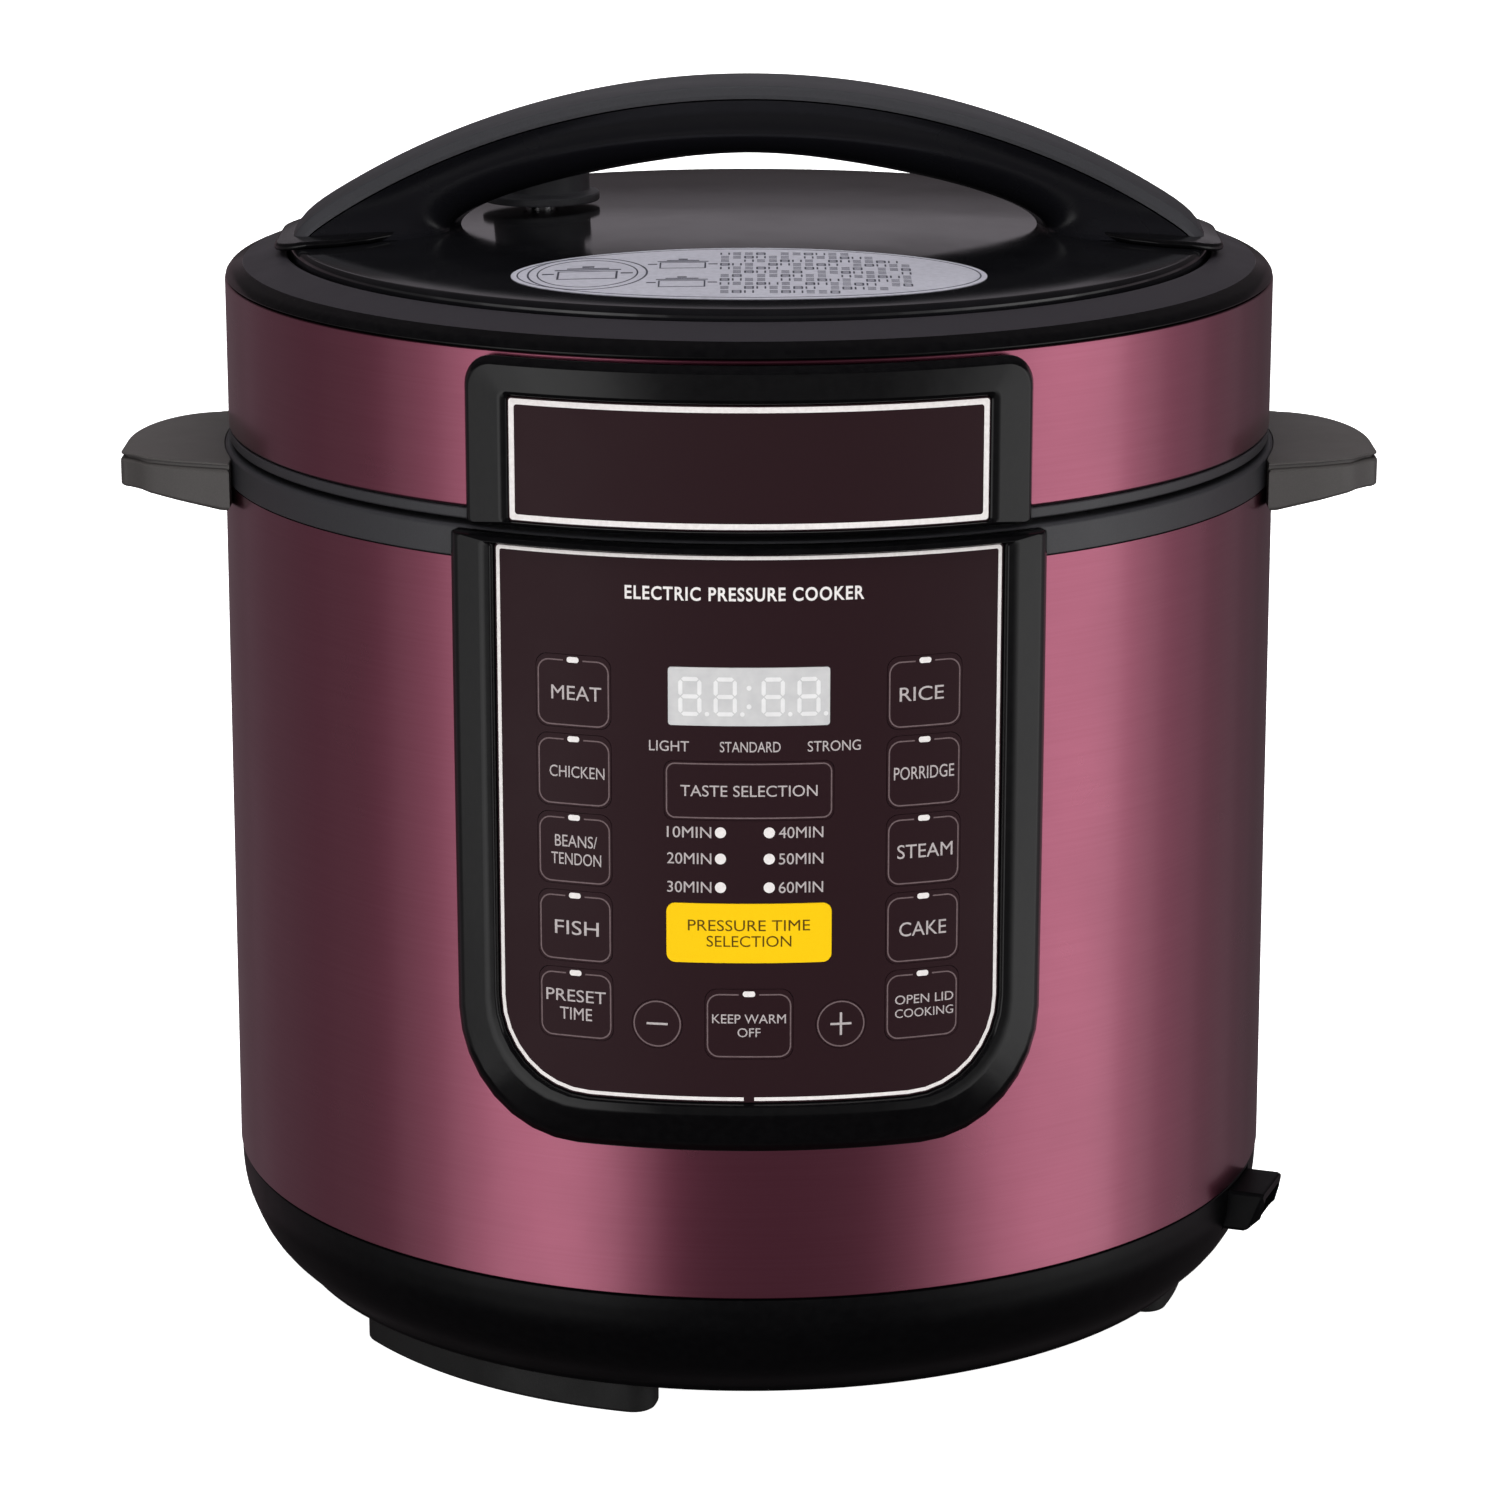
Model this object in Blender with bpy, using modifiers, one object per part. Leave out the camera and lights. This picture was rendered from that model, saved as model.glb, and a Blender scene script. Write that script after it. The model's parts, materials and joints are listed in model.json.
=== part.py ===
"""Electric pressure cooker: a round countertop cooker with a bayonet lid, a film key panel and side handles.

The model stands on the plane z = 0, and the key panel faces -Y. Lengths are in metres. Every round part
turns about the cooker's own upright axis, which the empty called cooker_axis carries.
"""

from math import atan2, cos, degrees, hypot, pi, radians, sin, sqrt

import bmesh
import bpy

# ---------------------------------------------------------------- driving dimensions
CLEARANCE = 0.0004          # gap left between neighbouring pieces
LARGE_STEPS = 48            # facets round the body-sized rings
HIDDEN_STEPS = 32           # facets round large rings inside the cooker
SMALL_STEPS = 20            # facets round knobs, pins and buttons
LUG_STEPS = 48              # facets round the two bayonet rings

SHELL_R = 0.1390            # painted steel body
SHELL_WALL = 0.0007
SHELL_BOTTOM_Z = 0.0402
SHELL_TOP_Z = 0.2245
SEAM_Z = 0.2332             # joint between the body's collar and the lid
LID_R = 0.1375
LID_BAND_TOP_Z = 0.2760
TOTAL_HEIGHT = 0.3262

PANEL_R = 0.1430            # outer face of the key film
PANEL_FRAME_R = 0.1450
FILM_WALL = 0.0013
KEY_TRAVEL_GAP = 0.0006     # room behind the film for the keys' stroke
BEND_STEP = radians(6)      # a bent plate has one facet for each such step
SAME_FACE = radians(1)      # a flat plate's faces closer in direction than this are merged

FILM_HALF = 0.0632
FILM_LOW, FILM_HIGH, FILM_CORNER = 0.0930, 0.2302, 0.0235
FRAME_HALF = 0.0761
FRAME_LOW, FRAME_HIGH, FRAME_CORNER = 0.0792, 0.2322, 0.0320
KEY_COLUMN = 0.0430         # arc from the middle line to each column of square keys
KEY_ROW_TOP, KEY_PITCH = 0.1948, 0.0197
WIDE_KEY_HALF = 0.0201
DISPLAY_Z, DISPLAY_HALF, DISPLAY_TALL = 0.1954, 0.0195, 0.0144
LEFT_KEYS = ("meat", "chicken", "beans", "fish", "preset")
RIGHT_KEYS = ("rice", "porridge", "steam", "cake", "open_lid")
SQUARE_KEY = (0.0089, 0.0164)       # half width and height
TASTE_KEY_TALL, TIME_KEY_TALL = 0.0138, 0.0150
TASTE_KEY_Z, TIME_KEY_Z, LOW_KEYS_Z = 0.1720, 0.1362, 0.1127
WARM_KEY = (0.0103, 0.0162)
ROUND_KEY_R, ROUND_KEY_AT = 0.0058, 0.0225
CARRIER_WALL = 0.0013
BOARD_FRONT_Y = -0.1288

BADGE_HALF, BADGE_LOW, BADGE_HIGH, BADGE_CORNER = 0.0729, 0.2343, 0.2752, 0.0070
BADGE_FIELD_HALF, BADGE_FIELD_LOW, BADGE_FIELD_HIGH = 0.0600, 0.2357, 0.2659

LUG_COUNT = 6
LUG_ROOT_R = 0.1225
LUG_TIP_R = 0.1270
LID_SKIRT_R = 0.1300
LID_LUG_TIP_R = 0.1276      # clears the liner's lugs, so lifting and turning each work alone

POT_R = 0.1118
LINER_R = 0.1178
VALVE_AT = (-0.056, 0.031)  # pressure valve, from the axis
FLOAT_AT = (-0.085, 0.026)  # float valve
COVER_TOP_Z = 0.2890
COVER_EDGE_R = 0.1190
COVER_EDGE_DROP = 0.0038

HANDLE_ARC_R = 0.2100       # top line of the lid handle
HANDLE_HALF_SPAN = 0.1197
HANDLE_HALF_DEPTH = 0.0150
HANDLE_GRIP = 0.0182        # thickness of the grip at mid span
CAP_THICKNESS = 0.0050

INLET_AZIMUTH = 70          # degrees from the front towards the right
INLET_HALF_WIDTH = 0.0100
INLET_FACE_R = 0.1482
INLET_LOW, INLET_HIGH = 0.0275, 0.0385
INLET_CHAMFER = 0.0045      # slope from its face to its underside
INLET_WALL = 0.0022

FOOT_AZIMUTHS = {"foot_front_left": -35.5, "foot_right": 89.5, "foot_rear_left": 207}
FOOT_HALF_ANGLE = 23.5      # degrees
FOOT_INNER_R, FOOT_OUTER_R, FOOT_TALL = 0.1060, 0.1203, 0.0091

HANDLE_TOP_Z = 0.2319       # side handles
HANDLE_TIP_X = 0.1640
HANDLE_TIP_LOW_Z, HANDLE_ROOT_LOW_Z = 0.2228, 0.2193
HANDLE_REAR_HALF = 0.0290   # half width behind; the front edge runs out towards the body
HANDLE_FRONT_CORNER, HANDLE_REAR_CORNER = 0.0030, 0.0140

CUP_HALF_WIDTH = 0.0275
CUP_FRONT_Y = 0.1420
RAIL_FRONT_Y = 0.1373       # the rails start inside the bracket's curved plate
CUP_BACK_Y = 0.1660
CUP_BOTTOM_Z = 0.1720
CUP_TOP_Z = 0.2190

# The cup stands out further behind than the panel does in front: this centres the object on the origin.
CENTRE_Y = (PANEL_FRAME_R - CUP_BACK_Y) / 2

COLOURS = {
    "burgundy_steel": ((0.30, 0.055, 0.115), 0.28, 1.0),
    "gloss_black": ((0.010, 0.010, 0.011), 0.12, 0.0),
    "satin_black": ((0.022, 0.022, 0.024), 0.42, 0.0),
    "dark_ring": ((0.060, 0.058, 0.062), 0.38, 0.0),
    "film_brown": ((0.030, 0.014, 0.017), 0.25, 0.0),
    "key_yellow": ((0.93, 0.60, 0.02), 0.35, 0.0),
    "display_grey": ((0.55, 0.56, 0.58), 0.20, 0.0),
    "steel": ((0.62, 0.62, 0.63), 0.30, 1.0),
    "cast_aluminium": ((0.55, 0.55, 0.56), 0.40, 1.0),
    "pot_coating": ((0.12, 0.12, 0.125), 0.45, 0.6),
    "silicone": ((0.80, 0.80, 0.78), 0.55, 0.0),
    "circuit_green": ((0.03, 0.16, 0.07), 0.45, 0.0),
    "clear_cup": ((0.35, 0.36, 0.38), 0.25, 0.0),
    "rubber": ((0.018, 0.018, 0.018), 0.80, 0.0),
    "brass": ((0.70, 0.50, 0.22), 0.35, 1.0),
}


# ---------------------------------------------------------------- scene and objects
def clear_scene():
    for obj in list(bpy.data.objects):
        bpy.data.objects.remove(obj, do_unlink=True)


def new_collection(name):
    collection = bpy.data.collections.new(name)
    bpy.context.scene.collection.children.link(collection)
    return collection


clear_scene()
PARTS = new_collection("pressure_cooker")
CUTTERS = new_collection("cutters")
AXIS = bpy.data.objects.new("cooker_axis", None)
AXIS.location = (0, CENTRE_Y, 0)
PARTS.objects.link(AXIS)


def material(name):
    found = bpy.data.materials.get(name)
    if found:
        return found
    colour, roughness, metallic = COLOURS[name]
    made = bpy.data.materials.new(name)
    made.use_nodes = True
    shader = made.node_tree.nodes["Principled BSDF"]
    shader.inputs["Base Color"].default_value = (*colour, 1)
    shader.inputs["Roughness"].default_value = roughness
    shader.inputs["Metallic"].default_value = metallic
    return made


def add_part(name, mesh, finish, location=(0, 0, 0), turn=0.0):
    """Place a mesh as a sub-part, in the frame of the cooker's axis."""
    obj = bpy.data.objects.new(name, mesh)
    obj.parent = AXIS
    obj.location = location
    obj.rotation_euler.z = turn
    mesh.materials.clear()
    mesh.materials.append(material(finish))
    PARTS.objects.link(obj)
    return obj


def as_tool(obj):
    """Hide a part that only cuts or joins another one."""
    PARTS.objects.unlink(obj)
    CUTTERS.objects.link(obj)
    obj.hide_render = True
    obj.display_type = "WIRE"
    return obj


def combine(obj, tool, operation):
    modifier = obj.modifiers.new(operation.lower(), "BOOLEAN")
    modifier.solver = "EXACT"
    modifier.operation = operation
    modifier.object = as_tool(tool)


def soften(obj, width, sharpest):
    """Bevel the edges where faces meet at more than this angle, in degrees."""
    modifier = obj.modifiers.new("soften", "BEVEL")
    modifier.width = width
    modifier.segments = 1
    modifier.limit_method = "ANGLE"
    modifier.angle_limit = radians(sharpest)
    modifier.harden_normals = False


def freeze(obj):
    """Replace the object's mesh with what its modifiers make of it."""
    graph = bpy.context.evaluated_depsgraph_get()
    obj.data = bpy.data.meshes.new_from_object(obj.evaluated_get(graph))
    obj.modifiers.clear()


# ---------------------------------------------------------------- shape helpers
def turned(name, profile, finish, steps=LARGE_STEPS, location=(0, 0, 0)):
    """Turn (radius, height) points about the upright axis. They run down the outer side of the shape.

    A profile that stays off the axis is closed into a ring.
    """
    count = len(profile)
    is_ring = min(radius for radius, _ in profile) > 0
    edges = [(i, (i + 1) % count) for i in range(count if is_ring else count - 1)]
    mesh = bpy.data.meshes.new(name)
    mesh.from_pydata([(radius, 0, height) for radius, height in profile], edges, [])
    obj = add_part(name, mesh, finish, location)
    screw = obj.modifiers.new("turn", "SCREW")
    screw.steps = steps
    screw.render_steps = steps
    screw.use_merge_vertices = True
    screw.merge_threshold = 0.00001
    return obj


def box(name, low, high, finish):
    mesh = bpy.data.meshes.new(name)
    shape = bmesh.new()
    bmesh.ops.create_cube(shape, size=1)
    for vertex in shape.verts:
        vertex.co = [(a + b) / 2 + c * (b - a) for a, b, c in zip(low, high, vertex.co)]
    shape.to_mesh(mesh)
    shape.free()
    return add_part(name, mesh, finish)


def arc(centre, radius, start, end, steps):
    """Points along a circular arc, its angles in degrees."""
    angles = [radians(start + (end - start) * i / steps) for i in range(steps + 1)]
    return [(centre[0] + radius * cos(a), centre[1] + radius * sin(a)) for a in angles]


def rounded_box(half_width, low, high, low_corner, high_corner, steps=3):
    """A rectangle about the middle line, with its own corner radius below and above."""
    points = []
    for x, y, corner, start in (
        (half_width, high, high_corner, 0),
        (-half_width, high, high_corner, 90),
        (-half_width, low, low_corner, 180),
        (half_width, low, low_corner, 270),
    ):
        centre = (x - corner * (1 if x > 0 else -1), y - corner * (1 if y == high else -1))
        points += arc(centre, corner, start, start + 90, steps)
    return points


def circle(radius, steps=16):
    return arc((0, 0), radius, 0, 360 - 360 / steps, steps - 1)


def moved(outline, across, up):
    return [(x + across, y + up) for x, y in outline]


def plate_mesh(name, outlines, thickness, place, cuts=()):
    """Fill flat outlines (holes inside them), thicken them, cut at each x in cuts, then move every point.

    place takes (x, y, height over the mid plane) to its final position.
    """
    curve = bpy.data.curves.new(name, "CURVE")
    curve.dimensions = "2D"
    curve.fill_mode = "BOTH"
    curve.extrude = thickness / 2
    for outline in outlines:
        spline = curve.splines.new("POLY")
        spline.points.add(len(outline) - 1)
        spline.use_cyclic_u = True
        for point, (x, y) in zip(spline.points, outline):
            point.co = (x, y, 0, 1)
    flat = bpy.data.objects.new(name + "_flat", curve)
    CUTTERS.objects.link(flat)
    graph = bpy.context.evaluated_depsgraph_get()
    mesh = bpy.data.meshes.new_from_object(flat.evaluated_get(graph))
    bpy.data.objects.remove(flat, do_unlink=True)
    bpy.data.curves.remove(curve)

    shape = bmesh.new()
    shape.from_mesh(mesh)
    bmesh.ops.remove_doubles(shape, verts=shape.verts, dist=0.000002)
    for x in cuts:
        everything = shape.verts[:] + shape.edges[:] + shape.faces[:]
        cut = bmesh.ops.bisect_plane(
            shape, geom=everything, dist=0.000002, plane_co=(x, 0, 0), plane_no=(1, 0, 0))
        for edge in cut["geom_cut"]:
            if isinstance(edge, bmesh.types.BMEdge):
                edge.seam = True
    bmesh.ops.dissolve_limit(
        shape, angle_limit=SAME_FACE, verts=shape.verts, edges=shape.edges, delimit={"SEAM"})
    bmesh.ops.triangulate(shape, faces=shape.faces)
    for vertex in shape.verts:
        vertex.co = place(*vertex.co)
    bmesh.ops.recalc_face_normals(shape, faces=shape.faces)
    shape.to_mesh(mesh)
    shape.free()
    mesh.name = name
    return mesh


def bent_plate(name, outlines, inner_r, outer_r, finish, arc_at=0.0, height=0.0, azimuth=0.0):
    """A plate cut to flat outlines and bent round the axis. Its origin lies on the bend, at its own middle.

    Outline points are (length along the arc at PANEL_R, height). arc_at and azimuth both turn it.
    """
    middle = (inner_r + outer_r) / 2
    widest = max(abs(x) for outline in outlines for x, _ in outline)
    step = BEND_STEP * PANEL_R
    count = int(widest / step) + 1

    def bend(x, y, over):
        angle = x / PANEL_R
        radius = middle + over
        return (radius * sin(angle), middle - radius * cos(angle), y)

    cuts = [i * step for i in range(-count, count + 1)]
    mesh = plate_mesh(name, outlines, outer_r - inner_r, bend, cuts)
    turn = arc_at / PANEL_R + radians(azimuth)
    location = (middle * sin(turn), -middle * cos(turn), height)
    return add_part(name, mesh, finish, location, turn)


def upright_plate(name, outlines, half_depth, finish):
    """A plate standing in the XZ plane, from -half_depth to half_depth in Y."""
    mesh = plate_mesh(name, outlines, 2 * half_depth, lambda x, y, over: (x, -over, y))
    return add_part(name, mesh, finish)


def level_plate(name, outlines, low, high, finish, cuts=()):
    middle = (low + high) / 2
    mesh = plate_mesh(name, outlines, high - low, lambda x, y, over: (x, y, middle + over), cuts)
    return add_part(name, mesh, finish)


def grow_lugs(obj, root_r, tip_r, low, high):
    """Turn a plain rim into a bayonet ring: its points in each lug's sector move from root_r to tip_r."""
    freeze(obj)
    pitch = 360 / LUG_COUNT
    for vertex in obj.data.vertices:
        x, y, z = vertex.co
        in_rim = abs(hypot(x, y) - root_r) < 0.0001 and low < z < high
        if in_rim and (degrees(atan2(y, x)) + 1) % pitch < 0.42 * pitch:
            vertex.co.x *= tip_r / root_r
            vertex.co.y *= tip_r / root_r


# ---------------------------------------------------------------- base
def make_base():
    housing = turned("base_housing", [
        (0.1380, 0.0460), (0.1380, 0.0399), (0.1392, 0.0399), (0.1387, 0.0300), (0.1340, 0.0180),
        (0.1245, 0.0095), (0.1000, 0.0095), (0.1000, 0.0120), (0.1232, 0.0120), (0.1316, 0.0200),
        (0.1360, 0.0310), (0.1360, 0.0460),
    ], "gloss_black")
    inlet_cut = [(0.118, INLET_LOW - CLEARANCE), (0.150, INLET_LOW - CLEARANCE),
                 (0.150, INLET_HIGH + CLEARANCE), (0.118, INLET_HIGH + CLEARANCE)]
    combine(housing, radial_plate("inlet_cut", inlet_cut, INLET_HALF_WIDTH + CLEARANCE, "gloss_black"), "DIFFERENCE")
    turned("bottom_cover", [
        (0, 0.0140), (0.1035, 0.0140), (0.1035, 0.0124), (0.0994, 0.0124), (0.0994, 0.0098), (0, 0.0098),
    ], "satin_black")
    for name, azimuth in FOOT_AZIMUTHS.items():
        outline = rounded_box(radians(FOOT_HALF_ANGLE) * PANEL_R, 0, FOOT_TALL, 0.0020, 0.0005, 2)
        bent_plate(name, [outline], FOOT_INNER_R, FOOT_OUTER_R, "rubber", azimuth=azimuth)
    make_inlet()


def radial_plate(name, outline, half_width, finish, across=0.0):
    """A plate standing out from the axis at the inlet's azimuth. Its outline is in (radius, height)."""
    mesh = plate_mesh(name, [outline], 2 * half_width, lambda r, height, over: (across - over, -r, height))
    return add_part(name, mesh, finish, turn=radians(INLET_AZIMUTH))


def inlet_block(inner_r, outer_r, low, high):
    return [(inner_r, low), (outer_r, low), (outer_r, high), (inner_r, high)]


def make_inlet():
    """Mains inlet: a shroud with three blades in it, open outwards. Its face slopes in at the bottom."""
    back_r, floor_r = 0.1255, 0.1300
    blade_tip_r = INLET_FACE_R - 0.0080
    blade_pitch, blade_half, blade_half_tall = 0.0046, 0.0009, 0.0018
    outline = [
        (back_r, INLET_LOW), (INLET_FACE_R - INLET_CHAMFER, INLET_LOW), (INLET_FACE_R, INLET_LOW + INLET_CHAMFER),
        (INLET_FACE_R, INLET_HIGH), (back_r, INLET_HIGH)]
    socket = radial_plate("mains_inlet", outline, INLET_HALF_WIDTH, "satin_black")
    recess = inlet_block(floor_r, INLET_FACE_R + 0.002, INLET_LOW + INLET_WALL, INLET_HIGH - INLET_WALL)
    combine(socket, radial_plate("inlet_recess", recess, INLET_HALF_WIDTH - INLET_WALL, "satin_black"), "DIFFERENCE")
    middle_z = (INLET_LOW + INLET_HIGH) / 2
    for i in (-1, 0, 1):
        z = middle_z + (0.0012 if i == 0 else -0.0012)
        blade = inlet_block(floor_r - 0.002, blade_tip_r, z - blade_half_tall, z + blade_half_tall)
        combine(socket, radial_plate(f"inlet_blade_{i + 2}", blade, blade_half, "brass", blade_pitch * i), "UNION")


# ---------------------------------------------------------------- body
def make_body():
    shell = turned("outer_shell", [
        (SHELL_R - 0.0004, SHELL_TOP_Z), (SHELL_R + 0.0004, SHELL_BOTTOM_Z),
        (SHELL_R + 0.0004 - SHELL_WALL, SHELL_BOTTOM_Z), (SHELL_R - 0.0004 - SHELL_WALL, SHELL_TOP_Z),
    ], "burgundy_steel")
    window = rounded_box(0.0560, 0.0980, 0.2150, 0.015, 0.004)
    combine(shell, bent_plate("panel_window", [window], 0.134, 0.143, "burgundy_steel"), "DIFFERENCE")
    turned("collar_ring", [
        (SHELL_R - 0.0004, SEAM_Z - 0.0010), (SHELL_R - 0.0001, SHELL_TOP_Z + 0.0003), (0.1374, 0.2248),
        (0.1374, 0.2180), (0.1356, 0.2180), (0.1356, 0.2288), (0.1240, 0.2288), (0.1240, 0.2325),
    ], "satin_black")
    for side, name in ((-1, "side_handle_left"), (1, "side_handle_right")):
        make_side_handle(name, side)


def make_side_handle(name, side):
    """A flat paddle that widens to meet the body. Its underside drops towards the body."""
    slope_end_x, root_x, inner_x = HANDLE_TIP_X - 0.0060, 0.1365, 0.1250
    front, rear = HANDLE_FRONT_CORNER, HANDLE_REAR_CORNER
    outline = [(inner_x, -0.0460), (0.1330, -0.0433), (0.1480, -0.0385), (0.1560, -0.0345)]
    outline += arc((HANDLE_TIP_X - front, -0.0287 + front), front, -70, 0, 2)
    outline += arc((HANDLE_TIP_X - rear, HANDLE_REAR_HALF - rear), rear, 0, 90, 4)
    outline += [(0.1415, HANDLE_REAR_HALF), (0.1360, 0.0345), (inner_x, 0.0460)]

    def place(x, y, over):
        low = HANDLE_TIP_LOW_Z
        if x < slope_end_x:
            share = min(1, (slope_end_x - x) / (slope_end_x - root_x))
            low -= share * (HANDLE_TIP_LOW_Z - HANDLE_ROOT_LOW_Z)
        return (side * x, y, HANDLE_TOP_Z if over > 0 else low)

    handle = add_part(name, plate_mesh(
        name, [outline], 0.01, place, (0.1470, slope_end_x)), "satin_black")
    around = SHELL_R + 2 * CLEARANCE
    body = turned("body_cut_" + name, [(0, 0.240), (around, 0.240), (around, 0.210), (0, 0.210)], "satin_black")
    soften(handle, 0.0012, 35)
    combine(handle, body, "DIFFERENCE")


# ---------------------------------------------------------------- key panel
def key_layout():
    """Every key: name, arc, height, outline about its own middle, finish."""
    def block(half_width, tall, corner=0.0022):
        return rounded_box(half_width, -tall / 2, tall / 2, corner, corner, 2)

    keys = []
    for column, names in ((-KEY_COLUMN, LEFT_KEYS), (KEY_COLUMN, RIGHT_KEYS)):
        for row, name in enumerate(names):
            keys.append(("key_" + name, column, KEY_ROW_TOP - row * KEY_PITCH, block(*SQUARE_KEY), "film_brown"))
    keys.append(("key_taste", 0, TASTE_KEY_Z, block(WIDE_KEY_HALF, TASTE_KEY_TALL), "film_brown"))
    keys.append(("key_pressure_time", 0, TIME_KEY_Z, block(WIDE_KEY_HALF, TIME_KEY_TALL), "key_yellow"))
    keys.append(("key_keep_warm", 0, LOW_KEYS_Z, block(*WARM_KEY), "film_brown"))
    keys.append(("key_minus", -ROUND_KEY_AT, LOW_KEYS_Z, circle(ROUND_KEY_R), "film_brown"))
    keys.append(("key_plus", ROUND_KEY_AT, LOW_KEYS_Z, circle(ROUND_KEY_R), "film_brown"))
    return keys


def grown(outline, amount):
    """Push an outline's points away from its own middle, to make the hole for a piece with that outline."""
    return [(x + (amount if x > 0 else -amount), y + (amount if y > 0 else -amount)) for x, y in outline]


def make_panel():
    gap = CLEARANCE
    film_outline = rounded_box(FILM_HALF, FILM_LOW, FILM_HIGH, FILM_CORNER, 0.0010, 6)
    window = rounded_box(FILM_HALF + gap, FILM_LOW - gap, FILM_HIGH + gap, FILM_CORNER, 0.0010, 6)
    frame_outline = rounded_box(FRAME_HALF, FRAME_LOW, FRAME_HIGH, FRAME_CORNER, 0.0010, 6)
    bent_plate("panel_frame", [frame_outline, window], SHELL_R + 0.0008, PANEL_FRAME_R, "gloss_black")

    display = rounded_box(DISPLAY_HALF, -DISPLAY_TALL / 2, DISPLAY_TALL / 2, 0.0006, 0.0006, 1)
    back_r = PANEL_R - FILM_WALL
    holes = [moved(grown(display, gap), 0, DISPLAY_Z)]
    for name, across, height, outline, finish in key_layout():
        bent_plate(name, [outline], back_r, PANEL_R + 0.0001, finish, arc_at=across, height=height)
        holes.append(moved(grown(outline, gap), across, height))
    bent_plate("panel_film", [film_outline] + holes, back_r, PANEL_R, "film_brown")
    bent_plate("display_window", [display], back_r, PANEL_R, "display_grey", height=DISPLAY_Z)

    carrier_r = back_r - KEY_TRAVEL_GAP
    opening = moved(grown(display, 0.0010), 0, DISPLAY_Z)
    bent_plate("key_carrier", [film_outline, opening], carrier_r - CARRIER_WALL, carrier_r, "satin_black")
    make_control_board()


def make_control_board():
    thick, half_width = 0.0016, 0.046
    module_deep, module_half, module_half_tall = 0.0091, 0.0190, 0.0068
    box("control_board", (-half_width, BOARD_FRONT_Y, 0.104), (half_width, BOARD_FRONT_Y + thick, 0.213),
        "circuit_green")
    module_y = BOARD_FRONT_Y - CLEARANCE
    box("display_module", (-module_half, module_y - module_deep, DISPLAY_Z - module_half_tall),
        (module_half, module_y, DISPLAY_Z + module_half_tall), "display_grey")


# ---------------------------------------------------------------- heating unit
def make_heating_unit():
    liner = turned("cooking_liner", [
        (LUG_ROOT_R, 0.2400), (LUG_ROOT_R, 0.2370), (LINER_R + 0.0010, 0.2370), (LINER_R + 0.0010, 0.0566),
        (0.1138, 0.0500), (0.0360, 0.0500), (0.0360, 0.0512), (0.1132, 0.0512), (LINER_R, 0.0570),
        (LINER_R, 0.2400),
    ], "steel", LUG_STEPS)
    grow_lugs(liner, LUG_ROOT_R, LUG_TIP_R, 0.236, 0.241)
    turned("heating_plate", [
        (0.0980, 0.0600), (0.1000, 0.0580), (0.1000, 0.0517), (0.0200, 0.0517), (0.0200, 0.0600),
    ], "cast_aluminium", HIDDEN_STEPS)
    turned("heat_shield", [(0.1120, 0.0478), (0.1120, 0.0470), (0.0440, 0.0470), (0.0440, 0.0478)], "steel",
           HIDDEN_STEPS)
    turned("temperature_sensor", [
        (0, 0.0600), (0.0170, 0.0600), (0.0180, 0.0590), (0.0180, 0.0560), (0.0050, 0.0560), (0.0050, 0.0416),
        (0, 0.0416),
    ], "cast_aluminium", SMALL_STEPS)
    turned("sensor_bracket", [
        (0.0420, 0.0496), (0.0420, 0.0484), (0.0290, 0.0484), (0.0290, 0.0430), (0.0062, 0.0430),
        (0.0062, 0.0442), (0.0278, 0.0442), (0.0278, 0.0496),
    ], "steel", SMALL_STEPS)
    make_spring("sensor_spring", 0.0090, 0.0006, 0.0453, 0.0549, 3)
    turned("pressure_switch", [
        (0, 0.0400), (0.0110, 0.0400), (0.0110, 0.0330), (0.0160, 0.0330), (0.0160, 0.0250), (0, 0.0250),
    ], "satin_black", SMALL_STEPS, (0.060, 0.030, 0))
    box("thermal_fuse", (-0.068, 0.028, 0.0410), (-0.048, 0.036, 0.0450), "steel")
    box("power_board", (-0.055, 0.050, 0.0220), (0.045, 0.105, 0.0236), "circuit_green")


def make_spring(name, radius, wire_r, low, high, turns):
    per_turn = 10
    curve = bpy.data.curves.new(name, "CURVE")
    curve.dimensions = "3D"
    curve.bevel_depth = wire_r
    curve.bevel_resolution = 1
    curve.use_fill_caps = True
    spline = curve.splines.new("POLY")
    count = turns * per_turn
    spline.points.add(count)
    for i, point in enumerate(spline.points):
        angle = 2 * pi * i / per_turn
        point.co = (radius * cos(angle), radius * sin(angle), low + (high - low) * i / count, 1)
    obj = bpy.data.objects.new(name, curve)
    obj.parent = AXIS
    curve.materials.append(material("steel"))
    PARTS.objects.link(obj)


def make_inner_pot():
    wall = 0.0018
    turned("inner_pot", [
        (0, 0.0621), (0.1010, 0.0621), (POT_R - wall, 0.0705), (POT_R - wall, 0.2362), (0.1160, 0.2386),
        (0.1170, 0.2380), (0.1170, 0.2368), (POT_R, 0.2350), (POT_R, 0.0697), (0.1020, 0.0603), (0, 0.0603),
    ], "pot_coating")


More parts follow.
